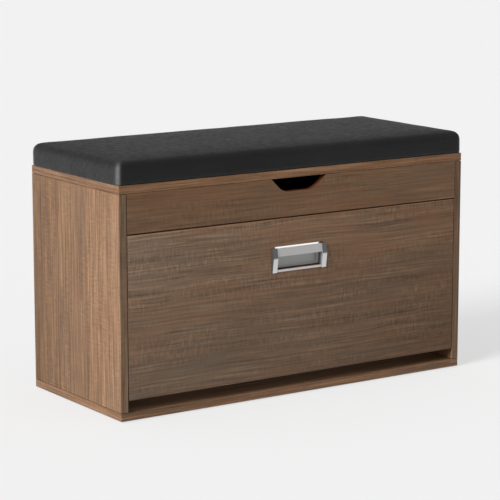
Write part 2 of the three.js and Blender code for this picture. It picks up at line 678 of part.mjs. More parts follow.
// The arc slot lets the stop pin travel between the closed and the open front.
function arcSlot(x) {
  const { radius, closed, open, slot } = STOP;
  const outline = new THREE.Shape();
  const start = THREE.MathUtils.degToRad(closed);
  const end = THREE.MathUtils.degToRad(open);
  outline.absarc(PIVOT.y, PIVOT.z, radius + slot, start, end, false);
  outline.absarc(...onArc(open, radius), slot, end, end + Math.PI, false);
  outline.absarc(PIVOT.y, PIVOT.z, radius - slot, end, start, true);
  outline.absarc(...onArc(closed, radius), slot, start + Math.PI, start + 2 * Math.PI, false);
  outline.closePath();
  return alongX(outline, x);
}

function pivotPlate(side) {
  const outline = rounded([[-147, 42], [-106, 42], [-90, 66], [-90, 104], [-147, 104]], 6);
  const plate = alongX(outline, mirrored(side, [INNER - PLATE, INNER]));
  const wide = around(side * INNER);
  const screwHoles = [[-140, 49], [-112, 49], [-97, 97], [-140, 97]].map((place) =>
    cylinder(PLATE_HOLE, wide, X_AXIS, [0, ...place], 12),
  );
  return cut(plate, arcSlot(wide), ...screwHoles);
}

// A stud stands on the plate: a shoulder that spaces the cheek, the bearing shank and a head.
function pivotStud(side) {
  const { shank, head, headThickness } = STUD;
  const plateFace = INNER - PLATE;
  const shoulder = CHEEK_OUT + PLAY;
  const headFace = CHEEK_IN - PLAY;
  const headEnd = headFace - headThickness;
  const profile = [
    [0, headEnd],
    [head, headEnd],
    [head, headFace],
    [shank, headFace],
    [shank, shoulder],
    [head, shoulder],
    [head, plateFace],
    [0, plateFace],
  ];
  return turned(profile, X_AXIS.clone().multiplyScalar(side), [0, PIVOT.y, PIVOT.z], 32);
}

for (const [name, side] of SIDES) {
  piece(`rack_cheek_${name}`, rackCheek(side), ZINC);
  piece(`pivot_plate_${name}`, pivotPlate(side), ZINC);
  piece(`pivot_stud_${name}`, pivotStud(side), ZINC);
  piece(`stop_pin_${name}`, stopPin(side), ZINC);
  for (const [level, z] of Object.entries(CHEEK_SCREW_HEIGHTS)) {
    piece(`cheek_screw_${name}_${level}`, cheekScrew(side, z), ZINC);
  }
}
for (const rod of RODS) piece(rod.name, rackRod(rod), CHROME);

export default bench;
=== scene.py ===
"""Entryway bench: its finishes, seat cushion, recessed pull, rack wires and screws.

Metres. X runs to the right, the front faces -Y, Z is up. Places and main sizes come from the
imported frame, so the pieces follow it.
"""
import json
import math

import bmesh
import bpy
import numpy as np
from bpy.props import FloatProperty, FloatVectorProperty, IntProperty, PointerProperty
from mathutils import Matrix, Vector, noise


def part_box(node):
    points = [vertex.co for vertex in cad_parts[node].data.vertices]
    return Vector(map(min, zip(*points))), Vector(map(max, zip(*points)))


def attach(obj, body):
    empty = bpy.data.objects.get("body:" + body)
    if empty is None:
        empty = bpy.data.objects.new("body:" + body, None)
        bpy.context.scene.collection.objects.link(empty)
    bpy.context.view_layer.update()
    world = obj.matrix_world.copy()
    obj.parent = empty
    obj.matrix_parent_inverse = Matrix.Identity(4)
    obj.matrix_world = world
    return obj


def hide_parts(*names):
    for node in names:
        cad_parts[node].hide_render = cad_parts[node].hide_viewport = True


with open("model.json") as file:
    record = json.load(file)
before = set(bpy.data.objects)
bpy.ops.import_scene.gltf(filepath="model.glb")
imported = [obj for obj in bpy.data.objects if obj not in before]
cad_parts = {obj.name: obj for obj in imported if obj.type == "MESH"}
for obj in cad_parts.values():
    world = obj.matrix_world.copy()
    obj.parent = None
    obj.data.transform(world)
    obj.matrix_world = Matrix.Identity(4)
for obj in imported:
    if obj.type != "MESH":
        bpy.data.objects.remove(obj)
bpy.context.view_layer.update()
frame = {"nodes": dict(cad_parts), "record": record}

bl_info = {
    "name": "Entryway Bench",
    "version": (1, 0, 0),
    "blender": (4, 5, 0),
    "location": "View3D > Sidebar > Bench",
    "description": "Dresses the bench's fixed frame with its finishes, cushion, pull and screws",
    "category": "Object",
}

NODES = frame["nodes"]
BODIES = frame["record"]["behaviour"]["bodies"]
BODY_OF = {node: body for body, nodes in BODIES.items() for node in nodes}
SIDES = (("left", -1), ("right", 1))
MM = 0.001
MERGE = 1e-6  # vertices closer than this are one


# ---------------------------------------------------------------- settings


def number(name, description, default, **more):
    """A plain number."""
    return FloatProperty(name=name, description=description, default=default, **more)


def length(name, description, default):
    """A size in metres."""
    return number(name, description, default, min=0.0, unit="LENGTH", precision=5)


def colour(name, description, default):
    """A linear colour."""
    return FloatVectorProperty(
        name=name, description=description, default=default, size=3, min=0.0, max=1.0, subtype="COLOR"
    )


class BENCH_PG_boards(bpy.types.PropertyGroup):
    """The printed walnut of the boards and their eased edges."""

    edge_radius: length("Edge radius", "Easing of the boards' edges", 0.35 * MM)
    close_radius: length("Close radius", "Easing where two boards nearly meet", 0.1 * MM)
    groove: length("Groove", "Easing where two boards meet flush", 1.1 * MM)
    light: colour("Light", "Palest streaks of the print", (0.320, 0.192, 0.108))
    middle: colour("Middle", "Ground of the print", (0.212, 0.121, 0.067))
    dark: colour("Dark", "Darkest streaks of the print", (0.112, 0.061, 0.033))
    warm: colour("Warm", "Warmer streaks of the print", (0.240, 0.120, 0.060))
    cool: colour("Cool", "Greyer streaks of the print", (0.188, 0.122, 0.075))
    roughness: number(
        "Roughness", "Satin of the melamine face", 0.46, min=0.0, max=1.0, subtype="FACTOR"
    )


class BENCH_PG_cushion(bpy.types.PropertyGroup):
    """The padded seat."""

    corner: length("Corner", "Radius of the upright corners", 10 * MM)
    roll: length("Roll", "Radius of the top edges", 14 * MM)
    tuck: length("Tuck", "Radius where the cover tucks under", 1.5 * MM)
    shoulder: length("Shoulder", "How far in from the roll the top still rises", 36 * MM)
    crown: length("Crown", "How much the top rises over the shoulder", 1.6 * MM)
    board_inset: length("Board inset", "From the plywood to the cover", 1.5 * MM)
    voxel: length("Voxel", "Size of the remeshed faces", 5.2 * MM)
    pressure: number("Pressure", "Push of the foam", 4.0, min=0.0)
    frames: IntProperty(name="Frames", description="Steps of the cloth", default=20, min=2)
    swell_side: length("Swell sideways", "Most that a side point may move", 1.2 * MM)
    swell_up: length("Swell upwards", "Most that a top point may move", 3.5 * MM)
    low_rim: length("Low rim", "How much lower the rim starts than the frame's top", 0.6 * MM)
    overhang: length("Overhang", "How far the front and rear stand out from the frame's", 1.0 * MM)
    end_overhang: length("End overhang", "How far the ends stand out from the frame's", 3.1 * MM)
    sunk: length("Sunk", "How much of the foot is pressed flat on its board", 2.6 * MM)
    leather: colour("Leather", "Ground colour of the cover", (0.0182, 0.0185, 0.0193))
    grain: length("Grain", "Size of the leather's pebbles", 1.1 * MM)
    # painted highlight: the pale colour down the upright corners stands in for a lamp's gleam
    worn: colour("Worn", "Cover where it is stretched over the corners", (0.175, 0.176, 0.178))


class BENCH_PG_metals(bpy.types.PropertyGroup):
    """Metal parts."""

    edge_radius: length("Edge radius", "Easing of the metal edges", 0.25 * MM)
    chrome: colour("Chrome", "Plated caps and wires", (0.66, 0.66, 0.67))
    aluminium: colour("Aluminium", "Satin grip", (0.82, 0.82, 0.81))
    cup: colour("Cup", "Duller aluminium of the cup", (0.50, 0.50, 0.495))
    # painted shade: this darker colour on the caps' outer flanks and the cup's ends stands in for
    # shade and the shadowed wood they reflect
    flank: colour("Flank", "Dull sides of the caps and ends of the cup", (0.22, 0.22, 0.22))
    zinc: colour("Zinc", "Hinges, plates and screws", (0.56, 0.57, 0.58))
    screw_seed: IntProperty(name="Screw seed", description="Turns of the screw heads", default=7)


class BENCH_PG_stage(bpy.types.PropertyGroup):
    """Camera, lamps and floor."""

    camera_place: FloatVectorProperty(
        name="Camera place",
        description="Where the camera stands",
        default=(-2.33792, -3.45437, 1.02770),
        subtype="TRANSLATION",
        unit="LENGTH",
    )
    camera_yaw: number("Yaw", "Turn to the right of +Y", math.radians(34.066), subtype="ANGLE")
    camera_pitch: number("Pitch", "Tilt below level", math.radians(10.444), subtype="ANGLE")
    lens: number("Lens", "Focal length in millimetres", 153.41)
    key_strength: number("Key", "Strength of the side lamp", 3.2)
    sky_strength: number("Sky", "Even light of the room", 0.40)
    backdrop: number("Backdrop", "Brightness of the pale background", 0.888)
    sky_mirrored: number("Mirrored sky", "Brightness in a gloss of the walls in front", 0.16)
    rear_mirrored: number("Mirrored rear", "Brightness in a gloss of the wall behind", 0.31)
    front_horizon: number("Front horizon", "Brightness in a gloss of the far floor in front", 0.25)
    floor_mirrored: number("Mirrored floor", "Share of the far floor's brightness in a gloss", 0.2)
    inside_power: number("Inside", "Watts of the soft lamp inside", 0.2)


# ---------------------------------------------------------------- node trees

TINTS = ("Light", "Middle", "Dark", "Warm", "Cool")
MIX_A, MIX_B, MIX_RESULT = 6, 7, 2  # the colour sockets of a Mix node


class Tree:
    """Adds nodes to a tree and sets or links their sockets by name."""

    def __init__(self, tree):
        self.tree = tree

    def feed(self, socket, value):
        if isinstance(value, bpy.types.NodeSocket):
            self.tree.links.new(value, socket)
        else:
            socket.default_value = value

    def add(self, kind, sockets=(), **settings):
        node = self.tree.nodes.new(kind)
        for name, value in settings.items():
            setattr(node, name, value)
        for name, value in dict(sockets).items():
            self.feed(node.inputs[name], value)
        return node

    def math(self, operation, *values, kind="ShaderNodeMath", **settings):
        node = self.add(kind, operation=operation, **settings)
        for socket, value in zip(node.inputs, values):
            self.feed(socket, value)
        return node.outputs["Vector" if kind == "ShaderNodeVectorMath" else "Value"]

    def plus(self, a, b):
        return self.math("ADD", a, b)

    def minus(self, a, b):
        return self.math("SUBTRACT", a, b)

    def times(self, a, b):
        return self.math("MULTIPLY", a, b)

    def swing(self, value, size):
        """A value round one half, made to swing round zero."""
        return self.times(self.minus(value, 0.5), size)

    def scaled_on(self, vector, scale, start):
        """A start moved on by a scaled vector."""
        return self.math("MULTIPLY_ADD", vector, scale, start, kind="ShaderNodeVectorMath")

    def fit(self, value, low, high, to_low=0.0, to_high=1.0):
        """A value from low..high, clamped to to_low..to_high."""
        sockets = {"Value": value, "From Min": low, "From Max": high}
        sockets |= {"To Min": to_low, "To Max": to_high}
        return self.add("ShaderNodeMapRange", sockets, clamp=True).outputs[0]

    def between(self, share, a, b):
        """A number between two others."""
        return self.add("ShaderNodeMix", {"Factor": share, "A": a, "B": b}).outputs[0]

    def mix(self, share, a, b, blend="MIX"):
        """A colour between two others."""
        node = self.add("ShaderNodeMix", {"Factor": share}, data_type="RGBA", blend_type=blend)
        self.feed(node.inputs[MIX_A], a)
        self.feed(node.inputs[MIX_B], b)
        return node.outputs[MIX_RESULT]

    def noise(self, vector, scale=1.0, detail=2.0, roughness=0.5):
        sockets = {"Vector": vector, "Scale": scale, "Detail": detail, "Roughness": roughness}
        return self.add("ShaderNodeTexNoise", sockets).outputs["Fac"]

    def cells(self, vector, scale):
        """Voronoi cells: how far from a cell's middle, and a tone for each cell."""
        cells = self.add("ShaderNodeTexVoronoi", {"Vector": vector, "Scale": scale}).outputs
        tone = self.add("ShaderNodeSeparateColor", {"Color": cells["Color"]}).outputs[0]
        return cells["Distance"], tone

    def xyz(self, x=0.0, y=0.0, z=0.0):
        return self.add("ShaderNodeCombineXYZ", {"X": x, "Y": y, "Z": z}).outputs[0]

    def axes(self, vector):
        return self.add("ShaderNodeSeparateXYZ", {"Vector": vector}).outputs

    def attribute(self, name):
        return self.add("ShaderNodeAttribute", attribute_name=name).outputs["Fac"]

    def place(self, scale=(1.0, 1.0, 1.0)):
        """Object coordinates, drawn out by a scale on each axis."""
        here = self.add("ShaderNodeTexCoord").outputs["Object"]
        return self.add("ShaderNodeMapping", {"Vector": here, "Scale": scale}).outputs[0]


def node_group(kind, name, inputs, outputs):
    """A node group with named sockets: inputs are (name, type, default), outputs (name, type)."""
    group = bpy.data.node_groups.new(name, kind)
    sockets = [("INPUT", *given) for given in inputs] + [("OUTPUT", *given, None) for given in outputs]
    for side, label, socket_kind, default in sockets:
        socket = group.interface.new_socket(
            name=label, in_out=side, socket_type="NodeSocket" + socket_kind
        )
        if default is not None:
            socket.default_value = default
    tree = Tree(group)
    return group, tree, tree.add("NodeGroupInput").outputs, tree.add("NodeGroupOutput").inputs


def rgba(values):
    """A colour with its alpha."""
    return (*values, 1.0)


def walnut_print():
    """The printed walnut: streaks along u, soft bands, dark lines and short ticks across."""
    group, tree, given, gives = node_group(
        "ShaderNodeTree",
        "Walnut print",
        [
            ("Vector", "Vector", None),
            ("Seed", "Float", 0.0),
            *((tint, "Color", rgba((0.2, 0.1, 0.05))) for tint in TINTS),
            ("Tints", "Float", 0.75),
            ("Waves", "Float", 0.004),
            ("Contrast", "Float", 1.0),
            ("Ticks", "Float", 1.0),
        ],
        [("Color", "Color"), ("Roughness", "Float"), ("Height", "Float")],
    )
    u, v = tree.axes(given["Vector"])[:2]
    seed = given["Seed"]

    def layer(along, across, detail=2.0, roughness=0.5, lane=seed):
        """Noise with cycles per metre along the grain and across it."""
        place = tree.xyz(tree.times(u, along), tree.times(v, across), lane)
        return tree.noise(place, 1.0, detail, roughness)

    v = tree.plus(v, tree.swing(layer(3.2, 8.0), given["Waves"]))
    bands = layer(0.9, 13.0)
    streaks = layer(2.0, 62.0, 3.0, 0.62)
    threads = layer(4.5, 250.0, 2.0, 0.6)
    fibres = layer(16.0, 760.0, 3.0, 0.6)
    pores = tree.fit(layer(55.0, 2300.0), 0.56, 0.68)
    pores = tree.times(pores, tree.fit(streaks, 0.40, 0.62, 1.0, 0.25))
    near = tree.math("ABSOLUTE", tree.minus(layer(1.3, 46.0, 1.0), 0.5))
    lines = tree.minus(1.0, tree.fit(near, 0.0, 0.030))
    lines = tree.times(lines, tree.fit(bands, 0.38, 0.58))
    patches = tree.fit(layer(4.0, 18.0, 1.0), 0.42, 0.60)
    ticks = tree.swing(layer(230.0, 48.0, 4.0, 0.62), tree.plus(patches, 0.40))
    ticks = tree.times(ticks, given["Ticks"])

    tone = tree.swing(bands, 0.5)
    for part, weight in ((streaks, 0.70), (threads, 2.1), (fibres, 1.7)):
        tone = tree.plus(tone, tree.swing(part, weight))
    for part, weight in ((lines, -0.26), (pores, -0.28), (ticks, 0.95)):
        tone = tree.plus(tone, tree.times(part, weight))
    tone = tree.math("MULTIPLY_ADD", tone, given["Contrast"], 0.52)

    lower = tree.mix(tree.fit(tone, 0.0, 0.5), given["Dark"], given["Middle"])
    whole = tree.mix(tree.fit(tone, 0.5, 1.0), lower, given["Light"])
    narrow = layer(7.0, 95.0, lane=tree.plus(seed, 31.0))
    broad = layer(1.8, 9.0, lane=tree.plus(seed, 47.0))
    hue = tree.times(tree.plus(narrow, broad), 0.5)
    for low, high, tint in ((0.50, 0.59, "Warm"), (0.50, 0.41, "Cool")):
        whole = tree.mix(tree.fit(hue, low, high, 0.0, given["Tints"]), whole, given[tint])
    shade = tree.fit(tone, 0.0, 1.0, 0.74, 1.22)
    tree.feed(gives["Color"], tree.mix(0.75, whole, tree.mix(1.0, whole, shade, "MULTIPLY")))
    tree.feed(gives["Roughness"], tree.fit(streaks, 0.3, 0.7, 0.06, -0.06))
    tree.feed(gives["Height"], tree.math("MULTIPLY_ADD", fibres, 0.6, tree.times(tone, 0.4)))
    return group


def rubbed_metal():
    """Fine rubbing marks drawn out along one axis, and a few broad smudges."""
    group, tree, given, gives = node_group(
        "ShaderNodeTree",
        "Rubbed metal",
        [("Vector", "Vector", None), ("Marks", "Float", 1.0), ("Smudges", "Float", 1.0)],
        [("Tint", "Color"), ("Roughness", "Float"), ("Height", "Float")],
    )
    marks = tree.noise(given["Vector"], 1.0, 3.0, 0.6)
    smudges = tree.noise(tree.place(), 55.0, 3.0, 0.55)
    tone = tree.swing(marks, given["Marks"])
    cloud = tree.swing(smudges, given["Smudges"])
    tree.feed(gives["Tint"], tree.plus(1.0, tree.times(tone, 0.25)))
    tree.feed(gives["Roughness"], tree.plus(tree.times(tone, 0.16), cloud))
    tree.feed(gives["Height"], marks)
    return group


# ---------------------------------------------------------------- finishes

GROUPS = {}  # the shared shader groups
FINISHES = {}  # the materials


class Finish(Tree):
    """A new material; values that are the same all over are set on its shader's own sockets."""

    def __init__(self, name, **settings):
        made = FINISHES[name] = bpy.data.materials.new(name)
        made.use_nodes = True
        super().__init__(made.node_tree)
        self.shader = made.node_tree.nodes["Principled BSDF"].inputs
        for label, value in settings.items():
            self.shader[label.replace("_", " ")].default_value = value

    def shared(self, name, sockets):
        return self.add("ShaderNodeGroup", sockets, node_tree=GROUPS[name]).outputs

    def surface(self, base, rough=None, relief=None, depth=0.0, strength=1.0):
        """Feeds the colour, the roughness and a relief, of which 1 is worth `depth` metres."""
        self.feed(self.shader["Base Color"], base)
        if rough is not None:
            self.feed(self.shader["Roughness"], rough)
        if relief is not None:
            sockets = {"Height": relief, "Distance": depth, "Strength": strength}
            self.feed(self.shader["Normal"], self.add("ShaderNodeBump", sockets).outputs[0])


def walnut(name, seed, waves, contrast, ticks, tints, tone, painted_light_drifts=()):
    """Walnut-look melamine on the `grain` map; tints is the share of its warm and grey streaks.

    Each of the drifts is painted light and shade: a direction and the change of its colours for each
    metre that way.
    """
    boards = bpy.context.scene.bench_boards
    tree = Finish(name, Specular_IOR_Level=0.42)
    given = {"Seed": seed, "Waves": waves, "Contrast": contrast, "Ticks": ticks, "Tints": tints}
    given["Vector"] = tree.add("ShaderNodeUVMap", uv_map="grain").outputs[0]
    for label in TINTS:
        given[label] = rgba(a * b for a, b in zip(getattr(boards, label.lower()), tone))
    printed = tree.shared("walnut_print", given)
    # painted shade darkens the grooves where two boards meet
    shade = tree.minus(1.0, tree.attribute("eased"))
    # painted light and shade: the colour grows lighter or darker along each drift
    for direction, change in painted_light_drifts:
        way = tree.add("ShaderNodeVectorMath", operation="DOT_PRODUCT")
        tree.feed(way.inputs[0], tree.place())
        tree.feed(way.inputs[1], direction)
        shade = tree.scaled_on(way.outputs["Value"], change, shade)
    toned = tree.mix(1.0, printed["Color"], shade, "MULTIPLY")
    rough = tree.plus(printed["Roughness"], boards.roughness)
    tree.surface(toned, rough, printed["Height"], 0.06 * MM, 0.6)


WALNUTS = {  # seed, waves, contrast, ticks, share of tints, tone, and drifts of painted light and shade
    "walnut_side": (
        9.0, 0.011, 0.92, 0.9, 0.22, (0.93, 0.845, 0.705),
        # painted light: the sides grow lighter towards the front and the top
        [((0.0, -1.0, 0.35), (1.6, 1.9, 2.6))],
    ),
    "walnut_front": (
        21.0, 0.018, 0.70, 1.6, 0.65, (0.665, 0.674, 0.645),
        # painted shade: the front grows darker towards the right and the foot
        [((-1.0, 0.0, 0.0), (0.68, 1.00, 1.50)), ((0.0, 0.0, 1.0), (1.90, 2.05, 2.50))],
    ),
    "walnut_strip": (33.0, 0.012, 0.54, 1.2, 0.6, (0.93, 0.88, 0.80)),
    "walnut_lid": (19.0, 0.004, 0.85, 0.5, 0.4, (1.30, 1.16, 1.00)),
    "walnut_edge": (23.0, 0.004, 0.9, 0.5, 0.4, (1.06, 0.98, 0.88)),
    # the side panels' edge bands: painted sheen makes the left ones greyer and painted shade makes the
    # right ones darker
    "left_edge": (37.0, 0.004, 0.8, 0.5, 0.4, (0.98, 1.04, 1.06)),
    "right_edge": (41.0, 0.004, 0.8, 0.5, 0.4, (0.80, 0.76, 0.72)),
    # painted light: top faces in the shaded gaps under the lid and the strip are lightened
    "pale_edge": (31.0, 0.003, 0.7, 0.5, 0.4, (2.2, 2.0, 1.7)),
    "edge_band": (29.0, 0.003, 0.7, 0.5, 0.4, (0.80, 0.52, 0.42)),
}


def raw_board():
    """Bare chipboard where the cut-out for the pull opens the door's core."""
    tree = Finish("raw_board", Roughness=0.85, Specular_IOR_Level=0.25)
    here = tree.place((1.0, 1.0, 2.2))
    chips, tone = tree.cells(here, 420.0)
    ground = tree.mix(tone, rgba((0.105, 0.042, 0.020)), rgba((0.235, 0.110, 0.055)))
    dust = tree.fit(tree.noise(here, 2400.0), 0.45, 0.75, 0.0, 0.35)
    tree.surface(tree.mix(dust, ground, rgba((0.33, 0.19, 0.11))), None, chips, 0.15 * MM, 0.7)


def hardboard():
    """The back panel's bare rear face: matt brown fibreboard."""
    tree = Finish("hardboard", Roughness=0.8, Specular_IOR_Level=0.3)
    here = tree.place()
    cloud = tree.noise(here, 9.0, 4.0, 0.6)
    fibres = tree.noise(here, 900.0, 3.0, 0.7)
    ground = tree.mix(cloud, rgba((0.155, 0.098, 0.058)), rgba((0.205, 0.134, 0.082)))
    dark = tree.fit(fibres, 0.5, 0.78, 0.0, 0.6)
    tree.surface(tree.mix(dark, ground, rgba((0.09, 0.052, 0.03))), None, fibres, 0.08 * MM, 0.7)


def plywood():
    """The thin board under the cushion: pale veneer with stepped plies at its edge."""
    tree = Finish("plywood", Roughness=0.7, Specular_IOR_Level=0.3)
    streaks = tree.noise(tree.place((2.0, 90.0, 90.0)), 1.0, 4.0, 0.6)
    plies = tree.fit(tree.noise(tree.place((0.5, 0.5, 900.0)), 1.0, 0.0), 0.5, 0.6, 0.0, 0.3)
    ground = tree.mix(streaks, rgba((0.42, 0.28, 0.16)), rgba((0.60, 0.44, 0.27)))
    tree.surface(tree.mix(plies, ground, rgba((0.28, 0.17, 0.09))), None, streaks, 0.05 * MM, 0.6)


def leather():
    """Black leather-look cover: pebbled grain, soft creases, a satin surface and a painted highlight
    down its upright corners.
    """
    cushion = bpy.context.scene.bench_cushion
    tree = Finish("seat_leather", Specular_IOR_Level=0.3)
    here = tree.place()
    warp = tree.add("ShaderNodeTexNoise", {"Vector": here, "Scale": 300.0, "Detail": 2.0})
    near = tree.scaled_on(warp.outputs["Color"], (1.2 * MM, 1.2 * MM, 1.2 * MM), here)
    sockets = {"Vector": near, "Scale": 1.0 / cushion.grain}
    pebbles = tree.add("ShaderNodeTexVoronoi", sockets, feature="SMOOTH_F1").outputs["Distance"]
    height = tree.fit(pebbles, 0.05, 0.62, 1.0, 0.0)
    creases = tree.noise(here, 95.0, 4.0, 0.62)
    cloud = tree.noise(here, 7.0, 3.0, 0.5)
    paler, darker = (rgba(share * c for c in cushion.leather) for share in (1.35, 0.72))
    ground = tree.mix(tree.fit(cloud, 0.35, 0.7), rgba(cushion.leather), paler)
    ground = tree.mix(tree.fit(height, 0.45, 0.0, 0.0, 0.8), ground, darker)
    # painted highlight down the upright corners
    corner = tree.times(tree.attribute("worn"), tree.fit(creases, 0.3, 0.7, 0.6, 1.0))
    rough = tree.plus(tree.fit(creases, 0.3, 0.7, 0.32, 0.50), tree.fit(height, 0.0, 1.0, 0.10, 0.0))
    relief = tree.math("MULTIPLY_ADD", creases, 6.0, tree.times(height, 0.6))
    tree.surface(tree.mix(corner, ground, rgba(cushion.worn)), rough, relief, 0.14 * MM, 0.55)


def metal(name, base, roughness, drawn, marks, smudges, height, metallic=1.0):
    """Metal with rubbing marks drawn out along an axis; a satin one is less metallic."""
    tree = Finish(name, Metallic=metallic)
    given = {"Vector": tree.place(drawn), "Marks": marks, "Smudges": smudges}
    rub = tree.shared("rubbed_metal", given)
    tint = tree.mix(1.0, rgba(base), rub["Tint"], "MULTIPLY")
    rough = tree.math("ADD", rub["Roughness"], roughness, use_clamp=True)
    tree.surface(tint, tree.math("MAXIMUM", rough, 0.03), rub["Height"], height, 0.5)


ON_PULL = (25.0, 1600.0, 1600.0)  # cycles per metre of the rubbing marks on each axis
ON_CAP = (60.0, 60.0, 900.0)
ON_WIRE = (60.0, 900.0, 900.0)


def bright_rim():
    """The cup's top above the grip: a painted highlight, white and glowing with its own light."""
    tree = Finish("bright_rim", Metallic=0.0, Specular_IOR_Level=0.5, Emission_Strength=0.85)
    marks = tree.noise(tree.place(ON_PULL), 1.0, 3.0)
    tone = tree.mix(tree.fit(marks, 0.3, 0.7), rgba((0.93, 0.93, 0.92)), rgba((1.0, 1.0, 1.0)))
    tree.feed(tree.shader["Emission Color"], tone)
    tree.surface(tone, tree.fit(marks, 0.3, 0.7, 0.2, 0.3))


def zinc():
    """Bright zinc plate with faint crystals and handling marks."""
    tree = Finish("zinc_steel", Metallic=1.0)
    here = tree.place()
    _, flake = tree.cells(here, 260.0)
    cloud = tree.noise(here, 60.0, 3.0, 0.6)
    base = bpy.context.scene.bench_metals.zinc
    tone = tree.mix(flake, rgba(0.86 * c for c in base), rgba(base))
    handled = tree.fit(cloud, 0.55, 0.8, 0.0, 0.4)
    rough = tree.fit(cloud, 0.3, 0.7, 0.26, 0.42)
    tree.surface(tree.mix(handled, tone, rgba((0.42, 0.42, 0.40))), rough, cloud, 0.05 * MM, 0.4)


def moulded(name, base, roughness, specular):
    """Moulded plastic or rubber with a fine matt grain."""
    tree = Finish(name, Specular_IOR_Level=specular)
    grain = tree.noise(tree.place(), 1800.0)
    cloud = tree.noise(tree.place(), 120.0)
    tone = tree.mix(cloud, rgba(0.8 * c for c in base), rgba(base))
    rough = tree.fit(grain, 0.3, 0.7, roughness - 0.06, roughness + 0.06)
    tree.surface(tone, rough, grain, 0.04 * MM, 0.5)


def make_finishes():
    """Builds the shared groups first, then every material."""
    metals = bpy.context.scene.bench_metals
    GROUPS["walnut_print"] = walnut_print()
    GROUPS["rubbed_metal"] = rubbed_metal()
    for name, values in WALNUTS.items():
        walnut(name, *values)
    for finish in (raw_board, hardboard, plywood, leather, bright_rim, zinc):
        finish()
    metal("chrome", metals.chrome, 0.10, ON_CAP, 0.25, 0.08, 0.01 * MM)
    metal("rack_wire", metals.chrome, 0.14, ON_WIRE, 0.4, 0.12, 0.01 * MM)
    # painted shade on the caps' outer flanks and the cup's ends
    metal("dull_flank", metals.flank, 0.30, ON_CAP, 0.3, 0.10, 0.01 * MM, 0.7)
    metal("satin_aluminium", metals.aluminium, 0.42, ON_PULL, 0.5, 0.10, 0.02 * MM, 0.5)
    metal("cup_aluminium", metals.cup, 0.42, ON_PULL, 0.5, 0.10, 0.02 * MM, 0.5)
    metal("cup_lip", (0.86, 0.83, 0.81), 0.30, ON_PULL, 0.5, 0.10, 0.02 * MM, 0.8)
    moulded("glide_plastic", (0.020, 0.020, 0.020), 0.5, 0.45)
    moulded("bumper_rubber", (0.58, 0.58, 0.55), 0.6, 0.35)


# ---------------------------------------------------------------- mesh helpers

SHARP = math.radians(50)  # edges sharper than this are eased
FLAT = math.radians(0.5)  # faces that turn less than this are one


def merged(node):
    """An editable copy of a frame node with shared vertices and whole flat faces."""
    bm = bmesh.new()
    bm.from_mesh(NODES[node].data)
    bmesh.ops.remove_doubles(bm, verts=bm.verts, dist=MERGE)
    bmesh.ops.dissolve_limit(bm, angle_limit=FLAT, verts=bm.verts, edges=bm.edges)
    return bm


def ease(bm, radius, segments=2, depth=0.0, chosen=lambda edge: True):
    """Rounds the chosen sharp outer edges; the new faces' `eased` value darkens a board's print, as
    painted shade in a groove where two boards meet.
    """
    mark = bm.faces.layers.float.get("eased") or bm.faces.layers.float.new("eased")
    outer = [e for e in bm.edges if len(e.link_faces) == 2 and e.is_convex]
    sharp = [e for e in outer if e.calc_face_angle() > SHARP and chosen(e)]
    made = bmesh.ops.bevel(
        bm,
        geom=sharp,
        offset=radius,
        segments=segments,
        profile=0.5,
        affect="EDGES",
        clamp_overlap=True,
    )
    for face in made["faces"]:
        face[mark] = depth
    bm.normal_update()


def linked(name, mesh):
    """An object at the origin in the scene."""
    piece = bpy.data.objects.new(name, mesh)
    bpy.context.scene.collection.objects.link(piece)
    return piece


def finished(name, bm, finishes):
    """A mesh object from an edit mesh."""
    mesh = bpy.data.meshes.new(name)
    bm.to_mesh(mesh)
    bm.free()
    for finish in finishes:
        mesh.materials.append(FINISHES[finish])
    return linked(name, mesh)


def baked(piece):
    """Turns a piece's evaluated result into its plain mesh and removes its modifiers."""
    graph = bpy.context.evaluated_depsgraph_get()
    mesh = bpy.data.meshes.new_from_object(piece.evaluated_get(graph))
    piece.modifiers.clear()
    piece.data = mesh
    return piece


def soften(piece, angle=40.0):
    """Smooth shading that breaks at edges sharper than an angle and keeps flat faces flat."""
    piece.data.shade_smooth()
    piece.data.set_sharp_from_angle(angle=math.radians(angle))
    weighted = piece.modifiers.new("Weighted", "WEIGHTED_NORMAL")
    weighted.keep_sharp = True
    return baked(piece)


def stand_for(piece, *nodes, slot=None):
    """The piece replaces frame nodes and rides on their body; the slot is not used."""
    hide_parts(*nodes)
    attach(piece, BODY_OF[nodes[0]])
    return piece


def hard_part(node, finish, radius=None):
    """A metal, plastic or rubber node with eased edges and smooth round faces."""
    bm = merged(node)
    ease(bm, radius or bpy.context.scene.bench_metals.edge_radius)
    stand_for(soften(finished("visible_" + node, bm, [finish])), node)


# ---------------------------------------------------------------- boards

ALONG_X, ALONG_Z = 0, 2
BOARDS = (
    ("base_panel", ALONG_X, "walnut_edge"),
    ("side_panel_left", ALONG_Z, "walnut_side"),
    ("side_panel_right", ALONG_Z, "walnut_side"),
    ("compartment_floor", ALONG_X, "walnut_edge"),
    ("upper_front_panel", ALONG_X, "walnut_strip"),
    ("rear_board", ALONG_X, "walnut_strip"),
    ("lid_board", ALONG_X, "walnut_lid"),
    ("door_panel", ALONG_X, "walnut_front"),
    ("back_panel", ALONG_Z, "walnut_side"),
)
FOOT, TOP = 0, 1
CLOSE_LEVELS = {  # where a board nearly meets the next one
    "lid_board": (FOOT,),
    "side_panel_left": (TOP,),
    "side_panel_right": (TOP,),
    "upper_front_panel": (FOOT,),
}
GROOVE_SHADE = 0.85  # painted shade: how much darker a groove where two boards meet is than the print
LONG_EDGE = 12 * MM  # shorter edges of a board stay sharp
NOTCH_HALF_WIDTH = 100 * MM
NOTCH_LEVEL = 30 * MM  # the notch lies higher than this over the strip's foot
BOARD_U, BOARD_V = 0.9, 0.37  # metres of print between one board and the next
FACE_V = 0.7  # metres of print between a board's faces across one axis and across the next


